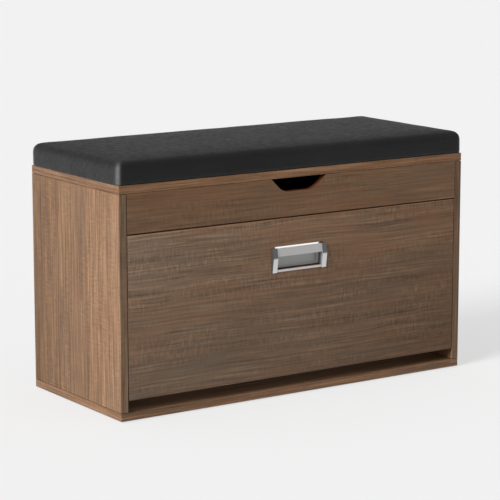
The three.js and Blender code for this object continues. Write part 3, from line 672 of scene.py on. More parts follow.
def lay_grain(bm, along, board):
    """A UV map in metres: u runs with the grain and v across it, apart for each board and face."""
    layer = bm.loops.layers.uv.new("grain")
    size = [max(v.co[i] for v in bm.verts) - min(v.co[i] for v in bm.verts) for i in range(3)]
    for face in bm.faces:
        across = max(range(3), key=lambda i: abs(face.normal[i]))
        flat = [i for i in range(3) if i != across]
        u = along if along in flat else max(flat, key=lambda i: size[i])
        v = next(i for i in flat if i != u)
        side = across + (0.5 if face.normal[across] > 0 else 0.0)
        for loop in face.loops:
            place = loop.vert.co
            loop[layer].uv = (place[u] + BOARD_U * board, place[v] + FACE_V * side + BOARD_V * board)


def inside(face, low, high):
    """Whether a face's middle lies between two corners."""
    middle = face.calc_center_median()
    return all(low[i] < middle[i] < high[i] for i in range(3))


def other_finishes(node, bm):
    """The faces of a board that show something other than its print: pairs of finish and faces."""
    low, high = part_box(node)
    hair = Vector((0.1 * MM,) * 3)
    core = [f for f in bm.faces if inside(f, low + hair, high - hair)]
    top = [f for f in bm.faces if f.normal.z > 0.3]
    if node == "upper_front_panel":  # its top edge, lightened as painted light in the shaded gap under the lid, and the cut edge of the finger notch
        corners = (
            (-NOTCH_HALF_WIDTH, low.y, low.z + NOTCH_LEVEL),
            (NOTCH_HALF_WIDTH, 1.0, high.z - hair.z),
        )
        notch = [f for f in bm.faces if inside(f, *corners) and abs(f.normal.y) < 0.5]
        return [("pale_edge", [f for f in top if f not in notch]), ("edge_band", notch)]
    if node.startswith("side_panel"):  # its front and rear edge bands, greyer on the left panel as a painted sheen and darker on the right one as painted shade
        return [(node.split("_")[-1] + "_edge", [f for f in bm.faces if abs(f.normal.y) > 0.5])]
    if node == "lid_board":  # its end bands
        return [("walnut_edge", [f for f in bm.faces if abs(f.normal.x) > 0.5])]
    if node == "door_panel":  # its top edge, lightened as painted light in the shaded gap under the strip, the cut-out for the pull and the screw pilots
        return [("pale_edge", [f for f in top if f not in core]), ("raw_board", core)]
    if node == "back_panel":  # its rear face is bare
        return [("hardboard", [f for f in bm.faces if f.normal.y > 0.5])]
    if node == "base_panel":  # counterbores
        return [("raw_board", core)]
    return []


def dress_board(node, along, finish, index):
    """A board with eased edges, its grain and the finish of its cuts."""
    boards = bpy.context.scene.bench_boards
    low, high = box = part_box(node)
    bm = merged(node)

    def long(edge):
        return edge.calc_length() > LONG_EDGE

    def level(edge, height):
        return long(edge) and all(abs(v.co.z - height) < MERGE for v in edge.verts)

    def at_end(edge):
        return long(edge) and all(abs(abs(v.co.x) - high.x) < MERGE for v in edge.verts)

    if node.startswith("side_panel"):  # the groove at its joint with the base, darkened as painted shade
        ease(bm, boards.groove, 1, GROOVE_SHADE, lambda edge: level(edge, low.z))
    if node == "upper_front_panel":  # the grooves at its joints with the sides, darkened as painted shade
        ease(bm, boards.groove, 1, GROOVE_SHADE, at_end)
    for end in CLOSE_LEVELS.get(node, ()):
        ease(bm, boards.close_radius, 1, chosen=lambda edge: level(edge, box[end].z))
    ease(bm, boards.edge_radius, chosen=long)
    lay_grain(bm, along, index)
    others = other_finishes(node, bm)
    for slot, (_, faces) in enumerate(others, 1):
        for face in faces:
            face.material_index = slot
    stand_for(finished("visible_" + node, bm, [finish, *(name for name, _ in others)]), node)


class BENCH_OT_boards(bpy.types.Operator):
    """Gives every board its eased edges, printed grain and cut edges"""

    bl_idname = "bench.boards"
    bl_label = "Boards"

    def execute(self, context):
        make_finishes()
        for index, (node, along, finish) in enumerate(BOARDS):
            dress_board(node, along, finish, index)
        return {"FINISHED"}


# ---------------------------------------------------------------- cushion

CORNER_POINTS = 7  # on each corner of a ring
RING_POINTS = 4 * CORNER_POINTS
CORNER_STEP = math.radians(90 / (CORNER_POINTS - 1))
OFF_BOARD = 0.1 * MM  # between the cushion's foot and its board
HELD_HEIGHT = 1.5 * MM  # the cloth is held up to here
STIFFNESS = 12.0
UNEVEN = ((22.0, 0.35, 0.35), (75.0, 0.04, 0.10))  # cycles per metre, mm on top, more mm on a side
PUCKERS, PUCKERS_UP = 42.0, 9.0  # cycles per metre along the sides, and up them
PUCKER_LANE = 5.0  # keeps the puckers' noise apart from the unevenness
FOOT_PUCKER, RIM_PUCKER = 0.45, 0.28  # mm
RIM_LEVEL, RIM_BAND = 0.78, 0.16  # share of the height where the rim puckers, and how far round it
FOLD_DEPTH, FOLD_WIDTH = 0.12, 2.2 * MM  # the fold at an upright corner; its depth in mm
CORNER_REACH = 14 * MM
HIGHLIGHT_SHIFT = 3 * MM  # the painted highlight on a corner reaches further on to the end than on to the front
HIGHLIGHT_FRONT, HIGHLIGHT_END = 4.5, 9  # mm


def rim_profile(settings, foot, rim):
    """How far in and how high each ring of the cushion lies: tucked foot, rolled top, low crown."""
    profile = [(settings.tuck, foot), (0.0, foot + settings.tuck)]
    for step in range(CORNER_POINTS):
        turn = CORNER_STEP * step
        inset, drop = settings.roll * (1 - math.cos(turn)), settings.roll * (1 - math.sin(turn))
        profile.append((inset, rim - drop))
    for share in (0.25, 0.5, 0.75, 1.0):
        rise = settings.crown * share * (2 - share)
        profile.append((settings.roll + settings.shoulder * share, rim + rise))
    return profile


def cushion_form(settings):
    """The cushion before it swells: a stack of rings with rounded corners."""
    low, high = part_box("cushion_cover")
    middle = (low + high) / 2
    half_x = (high.x - low.x) / 2 + settings.end_overhang
    half_y = (high.y - low.y) / 2 + settings.overhang
    bm = bmesh.new()
    rings = []
    for inset, level in rim_profile(settings, low.z - settings.sunk, high.z - settings.low_rim):
        ring = []
        for point in range(RING_POINTS):
            quarter, step = divmod(point, CORNER_POINTS)
            turn = math.radians(90) * quarter + CORNER_STEP * step
            right, rear = (1 if quarter in (0, 3) else -1), (1 if quarter in (0, 1) else -1)
            x = right * (half_x - inset - settings.corner) + settings.corner * math.cos(turn)
            y = rear * (half_y - inset - settings.corner) + settings.corner * math.sin(turn)
            ring.append(bm.verts.new((middle.x + x, middle.y + y, level)))
        rings.append(ring)
    for below, above in zip(rings, rings[1:]):
        for i in range(RING_POINTS):
            j = (i + 1) % RING_POINTS
            bm.faces.new((below[i], below[j], above[j], above[i]))
    bm.faces.new(reversed(rings[0]))
    bm.faces.new(rings[-1])
    return finished("seat_cushion", bm, ["seat_leather"])


def vectors(mesh, name):
    """The places or the normals of a mesh's vertices, as rows."""
    flat = np.empty(len(mesh.vertices) * 3, np.float32)
    mesh.vertices.foreach_get(name, flat)
    return flat.reshape(-1, 3).astype(float)


def swell(piece, settings, floor):
    """Blows the form up as cloth, held at its foot, and limits how far each point moves."""
    scene = bpy.context.scene
    start = vectors(piece.data, "co")
    held = piece.vertex_groups.new(name="held")
    held.add([i for i, z in enumerate(start[:, 2]) if z < floor + HELD_HEIGHT], 1.0, "REPLACE")
    cloth = piece.modifiers.new("Cloth", "CLOTH").settings
    cloth.use_pressure = True
    cloth.uniform_pressure_force = settings.pressure
    cloth.effector_weights.gravity = 0.0
    cloth.vertex_group_mass = "held"
    cloth.tension_stiffness = cloth.compression_stiffness = STIFFNESS
    for step in range(1, settings.frames + 1):
        scene.frame_set(step)
    graph = bpy.context.evaluated_depsgraph_get()
    blown = bpy.data.meshes.new_from_object(piece.evaluated_get(graph))
    piece.modifiers.clear()
    shift = vectors(blown, "co") - start
    bpy.data.meshes.remove(blown)
    scene.frame_set(1)
    limit = np.array([settings.swell_side, settings.swell_side, settings.swell_up])
    shift = shift * limit / np.maximum(np.abs(shift).max(0), limit)
    piece.data.vertices.foreach_set("co", (start + shift).astype(np.float32).ravel())
    piece.data.update()


def bell(value, width):
    """1 at zero, falling off over a width."""
    return math.exp(-((value / width) ** 2))


def crease(piece, low, high):
    """Soft puckers at the foot and the rim, faint unevenness, a fold at each upright corner, and where
    the painted corner highlight lies.
    """
    mesh = piece.data
    normals = vectors(mesh, "normal")
    points = vectors(mesh, "co")
    worn = np.zeros(len(points), np.float32)
    middle, half = (low + high) / 2, (high - low) / 2
    for i, (point, normal) in enumerate(zip(points, normals)):
        place = Vector(point)
        up = (point[2] - low.z) / (high.z - low.z)
        side = 1.0 - abs(normal[2])
        uneven = 0.0
        for rate, on_top, more in UNEVEN:
            uneven += noise.noise(place * rate) * (on_top + more * side)
        lane = point[2] * PUCKERS_UP + PUCKER_LANE
        fine = noise.noise(Vector((point[0] * PUCKERS, point[1] * PUCKERS, lane)))
        foot, rim = max(0.0, 1.0 - up * 1.3), bell(up - RIM_LEVEL, RIM_BAND)
        pucker = fine * side * (FOOT_PUCKER * foot + RIM_PUCKER * rim)
        gone_x = half.x - abs(point[0] - middle.x)
        gone_y = half.y - abs(point[1] - middle.y)
        near_corner = math.exp(-(max(0.0, gone_x) + max(0.0, gone_y)) / CORNER_REACH)
        fold = FOLD_DEPTH * bell(gone_x - gone_y, FOLD_WIDTH) * side * near_corner
        # painted highlight: how strongly each upright corner is lightened
        off = gone_x - gone_y + HIGHLIGHT_SHIFT
        highlighted = bell(off, (HIGHLIGHT_FRONT if off > 0 else HIGHLIGHT_END) * MM) * near_corner
        worn[i] = min(1.0, 1.6 * highlighted * (1.0 - 0.6 * max(0.0, normal[2])))
        points[i] += normal * (uneven + pucker - fold) * MM
    points[:, 2] = np.maximum(points[:, 2], low.z + OFF_BOARD)  # flat where it rests
    mesh.vertices.foreach_set("co", points.astype(np.float32).ravel())
    mesh.attributes.new("worn", "FLOAT", "POINT").data.foreach_set("value", worn)
    mesh.update()


def hidden_board(settings):
    """The plywood under the foam, clear of the cover that is drawn round it."""
    bm = merged("cushion_board")
    low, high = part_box("cushion_board")
    middle, half = (low + high) / 2, (high - low) / 2
    scale = Matrix.Diagonal((*(1.0 - settings.board_inset / h for h in half), 1.0))
    bm.transform(Matrix.Translation(middle) @ scale @ Matrix.Translation(-middle))
    ease(bm, 0.3 * MM)
    stand_for(finished("visible_cushion_board", bm, ["plywood"]), "cushion_board")


class BENCH_OT_cushion(bpy.types.Operator):
    """Makes the padded seat: a form that swells as cloth under a leather-look cover"""

    bl_idname = "bench.cushion"
    bl_label = "Cushion"

    def execute(self, context):
        settings = context.scene.bench_cushion
        low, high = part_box("cushion_cover")
        piece = cushion_form(settings)
        remesh = piece.modifiers.new("Remesh", "REMESH")
        remesh.mode = "VOXEL"
        remesh.voxel_size = settings.voxel
        baked(piece)
        swell(piece, settings, low.z)
        fine = piece.modifiers.new("Fine", "SUBSURF")
        fine.levels = fine.render_levels = 1
        baked(piece)
        crease(piece, low, high)
        piece.data.shade_smooth()
        stand_for(piece, "cushion_cover", "cushion_foam", slot="seat_leather")
        hidden_board(settings)
        return {"FINISHED"}


# ---------------------------------------------------------------- pull

# the rim's finish glows: a painted highlight
CUP_FINISHES = WALL, RIM_GLOW, LIP, FLANK = ("cup_aluminium", "bright_rim", "cup_lip", "dull_flank")
CAP_FINISHES = CHROMED, PAINTED_SHADE, SATIN = ("chrome", "dull_flank", "cup_aluminium")
SIDEWAYS = 0.7  # a flank's normal is more sideways than this
TURNED = 0.3  # a face looks a way when its normal leans more than this towards it
RIM_START = 2 * MM  # the rim starts this far under the top of the grip
LIP_HEIGHT = 5 * MM


def dress_cup():
    """The cup, with a painted glowing highlight on the strip above the grip, its lip, and its ends
    darkened with painted shade.
    """
    bm = merged("handle_cup")
    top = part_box("handle_grip")[1].z - RIM_START
    every = bm.verts[:] + bm.edges[:] + bm.faces[:]
    bmesh.ops.bisect_plane(bm, geom=every, plane_co=(0.0, 0.0, top), plane_no=(0.0, 0.0, 1.0))
    ease(bm, 0.12 * MM)
    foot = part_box("handle_cup")[0].z + LIP_HEIGHT
    for face in bm.faces:
        level = face.calc_center_median().z
        finish = WALL
        # the cup's ends take painted shade
        if abs(face.normal.x) > SIDEWAYS:
            finish = FLANK
        elif level > top and face.normal.y < -TURNED:
            finish = RIM_GLOW
        elif level < foot and (face.normal.y < -TURNED or face.normal.z > TURNED):
            finish = LIP
        face.material_index = CUP_FINISHES.index(finish)
    piece = finished("visible_handle_cup", bm, CUP_FINISHES)
    stand_for(soften(piece, 32.0), "handle_cup")


def dress_cap(node, sign):
    """A chromed end cap: its outer flank is darkened as painted shade for the shadowed wood that it
    reflects, and its inner one is satin as the cup is.
    """
    bm = merged(node)
    ease(bm, 0.15 * MM)
    for face in bm.faces:
        outward = face.normal.x * sign
        finish = PAINTED_SHADE if outward > SIDEWAYS else SATIN if outward < -SIDEWAYS else CHROMED
        face.material_index = CAP_FINISHES.index(finish)
    stand_for(soften(finished("visible_" + node, bm, CAP_FINISHES), 5.0), node)


class BENCH_OT_pull(bpy.types.Operator):
    """Makes the recessed pull: satin cup and grip between chromed caps"""

    bl_idname = "bench.pull"
    bl_label = "Recessed pull"

    def execute(self, context):
        dress_cup()
        hard_part("handle_grip", "satin_aluminium", 0.3 * MM)
        for side, sign in SIDES:
            dress_cap("handle_cap_" + side, sign)
        return {"FINISHED"}


# ---------------------------------------------------------------- wires and screws

GEOMETRY = ("Geometry", "Geometry")
FINISH = ("Finish", "Material", None)
ROUND_ANGLE = 30.0  # shading of turned parts breaks at sharper edges
WIRE_GAP = 0.3 * MM  # between a wire or its head and the cheek
CHEEK_SHEET = 1.5 * MM


def shape(tree, kind, **sizes):
    """A plain solid; its sizes are named as the node's inputs are."""
    sockets = {label.replace("_", " "): value for label, value in sizes.items()}
    return tree.add("GeometryNodeMesh" + kind, sockets).outputs["Mesh"]


def moved(tree, geometry, translation=(0, 0, 0), rotation=(0, 0, 0)):
    """Geometry turned about the origin and then moved."""
    sockets = {"Geometry": geometry, "Translation": translation, "Rotation": rotation}
    return tree.add("GeometryNodeTransform", sockets).outputs[0]


def joined(tree, *parts):
    """Several geometries as one."""
    join = tree.add("GeometryNodeJoinGeometry")
    for part in parts:
        tree.feed(join.inputs[0], part)
    return join.outputs[0]


def end_tree(tree, geometry, finish, gives):
    """Ends a tree in real geometry with its material."""
    real = tree.add("GeometryNodeRealizeInstances", {"Geometry": geometry}).outputs[0]
    done = tree.add("GeometryNodeSetMaterial", {"Geometry": real, "Material": finish})
    tree.feed(gives["Geometry"], done.outputs[0])


def wire_tree():
    """A straight wire along X whose thin ends pass through two cheeks and are headed over."""
    sizes = {
        "Radius": 3 * MM,
        "Half Length": 0.378,
        "Tenon Radius": 2.3 * MM,
        "Head Radius": 3.6 * MM,
        "Head Inner": 0.3803,
        "Head Thickness": 1 * MM,
    }
    inputs = [(*GEOMETRY, None), *((label, "Float", size) for label, size in sizes.items())]
    inputs += [("Place", "Vector", (0.0, 0.0, 0.0)), FINISH]
    group, tree, given, gives = node_group("GeometryNodeTree", "Headed wire", inputs, [GEOMETRY])

    def rod(radius, half):
        bar = shape(tree, "Cylinder", Vertices=28, Radius=radius, Depth=tree.times(half, 2.0))
        return moved(tree, bar, rotation=(0.0, math.pi / 2, 0.0))

    ends = []
    for sign in (-1.0, 1.0):
        head = shape(
            tree,
            "Cone",
            Vertices=24,
            Radius_Top=tree.times(given["Head Radius"], 0.7),
            Radius_Bottom=given["Head Radius"],
            Depth=given["Head Thickness"],
        )
        there = tree.xyz(tree.times(given["Head Inner"], sign))
        ends.append(moved(tree, head, there, (0.0, sign * math.pi / 2, 0.0)))
    tenon = rod(given["Tenon Radius"], given["Head Inner"])
    whole = joined(tree, rod(given["Radius"], given["Half Length"]), tenon, *ends)
    end_tree(tree, moved(tree, whole, given["Place"]), given["Finish"], gives)
    return group


SCREW_SIZES = (
    "Head Radius",
    "Crown Radius",
    "Head Height",
    "Shank Radius",
    "Shank Length",
    "Recess Width",
    "Recess Depth",
)
SCREWS = {  # millimetres, in the order of SCREW_SIZES
    "hinge_screws_rear_board": (3.1, 2.1, 1.0, 1.4, 9, 2.9, 0.7),
    "hinge_screws_lid": (2.6, 1.9, 0.35, 1.4, 9, 2.4, 0.3),
    "pivot_plate_screws": (3.4, 2.4, 1.2, 1.6, 10, 3.2, 0.8),
    "cheek_screws": (4.2, 3.15, 2.2, 2.0, 10, 4.0, 1.5),
    "base_screws": (5.0, 5.0, 1.5, 3.0, 50, 4.6, 1.4),
    "pull_screws": (4.0, 2.9, 1.8, 1.5, 4, 3.8, 1.2),
}
CROSS_ARM = 0.24  # width of a cross recess's arms, as a share of its whole width
BACK, DOWN = (0, 1, 0), (0, 0, -1)  # the ways that a screw faces
FIXED_LEAF, LID_LEAF = 1.2 * MM, 0.9 * MM  # how thick the hinge leaves are
FIXED_LEAF_SCREWS = (-24, 0, 24)  # mm from the leaf's middle
FIXED_LEAF_ROW = 9 * MM  # above the leaf's foot
LID_LEAF_SCREWS = ((-24, 8), (0, 24), (24, 8))  # mm from the leaf's middle and its front edge
PLATE_SCREWS = ((7, 7), (35, 7), (50, 55), (7, 55))  # mm from the plate's low front corner


def screw_tree():
    """Screws on points: a coned head with a cross or hexagon recess, and a plain shank."""
    inputs = [(*GEOMETRY, None), *((label, "Float", 2 * MM) for label in SCREW_SIZES)]
    inputs += [("Hexagon", "Bool", False), ("Seed", "Int", 0), FINISH]
    group, tree, given, gives = node_group("GeometryNodeTree", "Recessed screws", inputs, [GEOMETRY])
    head = shape(
        tree,
        "Cone",
        Vertices=32,
        Radius_Top=given["Crown Radius"],
        Radius_Bottom=given["Head Radius"],
        Depth=given["Head Height"],
    )
    deep = tree.times(given["Recess Depth"], 2.0)
    top = tree.xyz(z=given["Head Height"])
    wide, slot = given["Recess Width"], tree.times(given["Recess Width"], CROSS_ARM)
    crossed = tree.add("GeometryNodeMeshBoolean", operation="UNION")
    for x, y in ((wide, slot), (slot, wide)):
        bar = shape(tree, "Cube", Size=tree.xyz(x, y, deep))
        tree.feed(crossed.inputs["Mesh 2"], moved(tree, bar, top))
    hexagon = shape(tree, "Cylinder", Vertices=6, Radius=tree.times(wide, 0.5), Depth=deep)
    tool = tree.add(
        "GeometryNodeSwitch",
        {"Switch": given["Hexagon"], "False": crossed.outputs[0], "True": moved(tree, hexagon, top)},
        input_type="GEOMETRY",
    )
    cut = tree.add("GeometryNodeMeshBoolean", {"Mesh 1": head}, operation="DIFFERENCE")
    tree.feed(cut.inputs["Mesh 2"], tool.outputs[0])
    reach = given["Shank Length"]
    shank = shape(tree, "Cylinder", Vertices=14, Radius=given["Shank Radius"], Depth=reach)
    below = tree.xyz(z=tree.times(reach, -0.5))
    screw = joined(tree, cut.outputs[0], moved(tree, shank, below))

    facing = tree.add("GeometryNodeInputNamedAttribute", {"Name": "facing"}, data_type="FLOAT_VECTOR")
    upright = tree.add("FunctionNodeAlignRotationToVector", {"Vector": facing.outputs[0]}, axis="Z")
    chance = tree.add("FunctionNodeRandomValue", {"Seed": given["Seed"]}, data_type="FLOAT")
    turn = tree.xyz(z=tree.times(chance.outputs[1], math.tau))
    turn = tree.add("FunctionNodeEulerToRotation", {"Euler": turn}).outputs[0]
    spun = tree.add("FunctionNodeRotateRotation", rotation_space="LOCAL")
    tree.feed(spun.inputs[0], upright.outputs[0])
    tree.feed(spun.inputs[1], turn)
    points = tree.add("GeometryNodeMeshToPoints", {"Mesh": given["Geometry"]}).outputs[0]
    placed = tree.add(
        "GeometryNodeInstanceOnPoints",
        {"Points": points, "Instance": screw, "Rotation": spun.outputs[0]},
    )
    end_tree(tree, placed.outputs[0], given["Finish"], gives)
    return group


def grown(piece, group, inputs):
    """Runs a geometry tree on a piece with its inputs, and keeps the plain mesh."""
    group.is_modifier = True
    modifier = piece.modifiers.new(group.name, "NODES")
    modifier.node_group = group
    identifiers = {
        item.name: item.identifier
        for item in group.interface.items_tree
        if item.item_type == "SOCKET" and item.in_out == "INPUT"
    }
    for label, value in inputs.items():
        modifier[identifiers[label]] = value
    return soften(baked(piece), ROUND_ANGLE)


def screws(name, tree, places, facing, hexagon=False):
    """A set of like screws on one body, each at its place and facing its way."""
    mesh = bpy.data.meshes.new(name)
    mesh.from_pydata([tuple(place) for place in places], [], [])
    ways = mesh.attributes.new("facing", "FLOAT_VECTOR", "POINT")
    ways.data.foreach_set("vector", [axis for way in facing for axis in way])
    inputs = {label: size * MM for label, size in zip(SCREW_SIZES, SCREWS[name])}
    inputs["Hexagon"] = hexagon
    inputs["Seed"] = bpy.context.scene.bench_metals.screw_seed
    inputs["Finish"] = FINISHES["zinc_steel"]
    return grown(linked(name, mesh), tree, inputs)


class BENCH_OT_rack(bpy.types.Operator):
    """Makes the shoe rack's headed wires and its pressed cheeks"""

    bl_idname = "bench.rack"
    bl_label = "Shoe rack"

    def execute(self, context):
        tree = wire_tree()
        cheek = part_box("rack_cheek_right")[1].x
        for node in sorted(n for n in NODES if n.startswith("rack_rod_")):
            low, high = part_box(node)
            inputs = {
                "Half Length": cheek - CHEEK_SHEET - WIRE_GAP,
                "Head Inner": cheek + WIRE_GAP,
                "Head Thickness": high.x - cheek - WIRE_GAP,
                "Head Radius": (high.z - low.z) / 2,
                "Place": (0.0, (low.y + high.y) / 2, (low.z + high.z) / 2),
                "Finish": FINISHES["rack_wire"],
            }
            stand_for(grown(finished("visible_" + node, bmesh.new(), []), tree, inputs), node)
        for side, _ in SIDES:
            hard_part("rack_cheek_" + side, "zinc_steel", 0.2 * MM)
            hard_part("stop_pin_" + side, "zinc_steel")
        return {"FINISHED"}


class BENCH_OT_fittings(bpy.types.Operator):
    """Makes hinges, pivots, cam locks, glides and bumpers"""

    bl_idname = "bench.fittings"
    bl_label = "Fittings"

    def execute(self, context):
        for node in sorted(NODES):
            if node.startswith(("hinge_", "pivot_", "cam_lock_")):
                hard_part(node, "zinc_steel", 0.2 * MM)
            elif node.startswith("glide_"):
                hard_part(node, "glide_plastic", 0.5 * MM)
            elif node.startswith("lid_bumper_"):
                hard_part(node, "bumper_rubber", 0.3 * MM)
        return {"FINISHED"}


def hinge_screws(tree):
    """Three screws in each leaf of each hinge."""
    fixed, lid = [], []
    for side, _ in SIDES:
        low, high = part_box("hinge_fixed_leaf_" + side)
        middle = (low.x + high.x) / 2
        row = (low.y + FIXED_LEAF, low.z + FIXED_LEAF_ROW)
        fixed += [(middle + x * MM, *row) for x in FIXED_LEAF_SCREWS]
        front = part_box("hinge_lid_leaf_" + side)[0].y
        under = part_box("lid_board")[0].z - LID_LEAF
        lid += [(middle + x * MM, front + y * MM, under) for x, y in LID_LEAF_SCREWS]
    sets = (
        ("hinge_screws_rear_board", fixed, BACK, "carcass"),
        ("hinge_screws_lid", lid, DOWN, "seat_lid"),
    )
    for name, places, way, body in sets:
        piece = screws(name, tree, places, [way] * len(places))
        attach(piece, body)


def plate_screws(tree):
    """Four screws in each pivot plate, facing inwards."""
    low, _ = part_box("pivot_plate_right")
    places = [(s * low.x, low.y + y * MM, low.z + z * MM) for _, s in SIDES for y, z in PLATE_SCREWS]
    facing = [(-s, 0, 0) for _, s in SIDES for _ in PLATE_SCREWS]
    piece = screws("pivot_plate_screws", tree, places, facing)
    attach(piece, "carcass")


def head_height(name):
    """How high the heads of a set of screws are."""
    return dict(zip(SCREW_SIZES, SCREWS[name]))["Head Height"] * MM


def frame_screws(tree):
    """The screws that the frame holds as nodes: in the cheeks and up into the sides."""
    head = head_height("cheek_screws")
    nodes = [f"cheek_screw_{side}_{level}" for side, _ in SIDES for level in ("low", "high")]
    places = []
    for low, high in map(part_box, nodes):
        places.append(((low.x + high.x) / 2, high.y - head, (low.z + high.z) / 2))
    stand_for(screws("cheek_screws", tree, places, [BACK] * len(nodes)), *nodes)

    head = head_height("base_screws")
    nodes = [f"base_screw_{side}_{end}" for side, _ in SIDES for end in ("front", "rear")]
    places = []
    for low, high in map(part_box, nodes):
        places.append(((low.x + high.x) / 2, (low.y + high.y) / 2, low.z + head))
    stand_for(screws("base_screws", tree, places, [DOWN] * len(nodes), hexagon=True), *nodes)


def pull_screws(tree):
    """A screw from the door's rear into each cap of the pull."""
    low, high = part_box("handle_cap_right")
    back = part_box("door_panel")[1].y
    places = [(s * (low.x + high.x) / 2, back, (low.z + high.z) / 2) for _, s in SIDES]
    piece = screws("pull_screws", tree, places, [BACK] * 2)
    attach(piece, "tilt_front")


class BENCH_OT_screws(bpy.types.Operator):
    """Makes all the screws with one geometry tree"""

    bl_idname = "bench.screws"
    bl_label = "Screws"

    def execute(self, context):
        tree = screw_tree()
        hinge_screws(tree)
        plate_screws(tree)
        frame_screws(tree)
        pull_screws(tree)
        return {"FINISHED"}


# ---------------------------------------------------------------- stage

FLOOR_TONE = (0.60, 0.60, 0.60, 1.0)  # of the floor that lights the bench
FLOOR_LIT, FLOOR_GLOW = 0.33, 0.588  # of the floor that is seen: its colour and its own light
KEY_DIRECTION = (0.86, 0.16, -0.50)
KEY_SPREAD = math.radians(24)


def kinds_of_ray(tree):
    """Whether a ray comes from the camera, and whether it is mirrored or passes through glass."""
    rays = tree.add("ShaderNodeLightPath").outputs
    mirrored = tree.math("MAXIMUM", rays["Is Glossy Ray"], rays["Is Transmission Ray"])
    return rays["Is Camera Ray"], mirrored


def either(tree, share, first, second):
    """One shader or the other."""
    mixed = tree.add("ShaderNodeMixShader", {"Fac": share})
    tree.feed(mixed.inputs[1], first)
    tree.feed(mixed.inputs[2], second)
    return mixed.outputs[0]


def studio_world(stage):
    """An even room; what looks at it directly or by reflection sees the pale background."""
    world = bpy.context.scene.world = bpy.data.worlds.new("Studio")
    world.use_nodes = True
    world.node_tree.nodes.clear()
    tree = Tree(world.node_tree)
    seen, mirrored = kinds_of_ray(tree)
    way = tree.axes(tree.add("ShaderNodeTexCoord").outputs["Generated"])
    wall = tree.fit(way[1], -0.3, 0.5, stage.sky_mirrored, stage.rear_mirrored)
    level = tree.fit(way[1], -0.3, 0.5, stage.front_horizon, stage.backdrop)
    above = tree.fit(way[2], 0.01, 0.12, level, wall)
    strength = tree.between(seen, tree.between(mirrored, stage.sky_strength, above), stage.backdrop)
    light = tree.add("ShaderNodeBackground", {"Color": (1, 1, 1, 1), "Strength": strength})
    tree.add("ShaderNodeOutputWorld", {"Surface": light.outputs[0]})


def studio_floor(stage):
    """A wide pale floor that keeps a soft shadow and is clear from below."""
    made = FINISHES["studio_floor"] = bpy.data.materials.new("studio_floor")
    made.use_nodes = True
    made.node_tree.nodes.clear()
    tree = Tree(made.node_tree)
    direct, mirrored = kinds_of_ray(tree)
    here = tree.place()
    pool = tree.fit(tree.axes(here)[1], -2.2, -0.5, stage.floor_mirrored, 1.0)
    glow = tree.between(mirrored, 1.0, pool)
    speck = tree.fit(tree.noise(here, 3.0, 3.0), 0.3, 0.7, 0.985, 1.0)
    pale = tree.mix(1.0, FLOOR_TONE, speck, "MULTIPLY")
    lit = tree.add("ShaderNodeBsdfDiffuse", {"Color": pale}).outputs[0]
    both = tree.add("ShaderNodeAddShader")
    shown = tree.add("ShaderNodeBsdfDiffuse", {"Color": tree.times(glow, FLOOR_LIT)})
    shining = tree.add("ShaderNodeEmission", {"Strength": tree.times(glow, FLOOR_GLOW)})
    tree.feed(both.inputs[0], shown.outputs[0])
    tree.feed(both.inputs[1], shining.outputs[0])
    pictured = either(tree, tree.math("MAXIMUM", direct, mirrored), lit, both.outputs[0])
    clear = tree.add("ShaderNodeBsdfTransparent").outputs[0]
    under = tree.add("ShaderNodeNewGeometry").outputs["Backfacing"]
    tree.add("ShaderNodeOutputMaterial", {"Surface": either(tree, under, pictured, clear)})

    bm = bmesh.new()
    bmesh.ops.create_grid(bm, x_segments=1, y_segments=1, size=40.0)
    finished("studio_floor", bm, ["studio_floor"])


def aimed(name, data, direction):
    """A lamp or camera that looks along a direction."""
    placed = linked(name, data)
    placed.rotation_mode = "QUATERNION"
    placed.rotation_quaternion = Vector(direction).to_track_quat("-Z", "Y")
    return placed


def lamp(name, kind, energy, direction, **settings):
    """A lamp that shines along a direction."""
    light = bpy.data.lights.new(name, kind)
    light.energy = energy
    for label, value in settings.items():
        setattr(light, label, value)
    return aimed(name, light, direction)


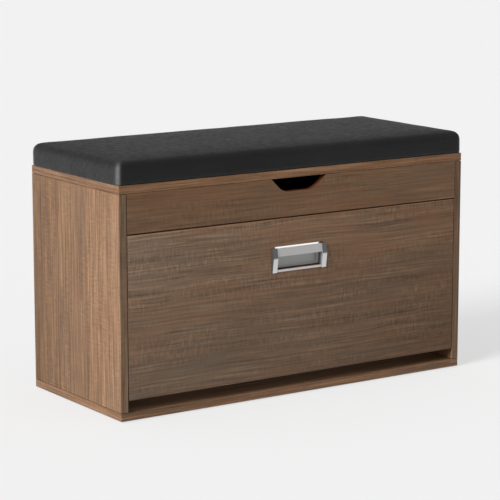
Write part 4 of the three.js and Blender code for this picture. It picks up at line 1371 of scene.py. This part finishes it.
class BENCH_OT_stage(bpy.types.Operator):
    """Sets up the camera, the lamps and the pale floor"""

    bl_idname = "bench.stage"
    bl_label = "Stage"

    def execute(self, context):
        scene = context.scene
        stage = scene.bench_stage
        data = bpy.data.cameras.new("Camera")
        data.lens = stage.lens
        data.sensor_width = 36.0
        data.clip_end = 100.0
        yaw, pitch = stage.camera_yaw, stage.camera_pitch
        forward = (math.sin(yaw) * math.cos(pitch), math.cos(yaw) * math.cos(pitch), -math.sin(pitch))
        camera = aimed("Camera", data, forward)
        camera.location = stage.camera_place
        scene.camera = camera
        scene.view_settings.view_transform = "Standard"
        studio_world(stage)
        studio_floor(stage)
        key = lamp("Key", "SUN", stage.key_strength, KEY_DIRECTION, angle=KEY_SPREAD)
        key.visible_glossy = False  # no glare on the seat when it is seen against the lamp
        low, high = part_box("compartment_floor")
        wide, deep = 0.9 * (high.x - low.x), 0.7 * (high.y - low.y)  # clear of the floor's edges
        under = lamp(
            "Inside", "AREA", stage.inside_power, (0, 0, -1), shape="RECTANGLE", size=wide, size_y=deep
        )
        under.location = (0.0, 0.0, low.z - 5 * MM)
        under.visible_camera = False
        return {"FINISHED"}


# ---------------------------------------------------------------- panel and registration

OPERATORS = (
    BENCH_OT_stage,
    BENCH_OT_boards,
    BENCH_OT_cushion,
    BENCH_OT_pull,
    BENCH_OT_rack,
    BENCH_OT_fittings,
    BENCH_OT_screws,
)


class BENCH_PT_panel(bpy.types.Panel):
    """Lists the steps that dress the bench"""

    bl_label = "Entryway Bench"
    bl_idname = "BENCH_PT_panel"
    bl_space_type = "VIEW_3D"
    bl_region_type = "UI"
    bl_category = "Bench"

    def draw(self, context):
        for operator in OPERATORS:
            self.layout.operator(operator.bl_idname)


SETTINGS = {
    "bench_boards": BENCH_PG_boards,
    "bench_cushion": BENCH_PG_cushion,
    "bench_metals": BENCH_PG_metals,
    "bench_stage": BENCH_PG_stage,
}


def register():
    for made in (*SETTINGS.values(), *OPERATORS, BENCH_PT_panel):
        bpy.utils.register_class(made)
    for name, group in SETTINGS.items():
        setattr(bpy.types.Scene, name, PointerProperty(type=group))


def unregister():
    for name in SETTINGS:
        delattr(bpy.types.Scene, name)
    for made in (BENCH_PT_panel, *reversed(OPERATORS), *SETTINGS.values()):
        bpy.utils.unregister_class(made)


def main():
    """Dresses the bench."""
    register()
    for operator in OPERATORS:
        group, _, step = operator.bl_idname.partition(".")
        getattr(getattr(bpy.ops, group), step)()


if __name__ == "__main__":
    main()
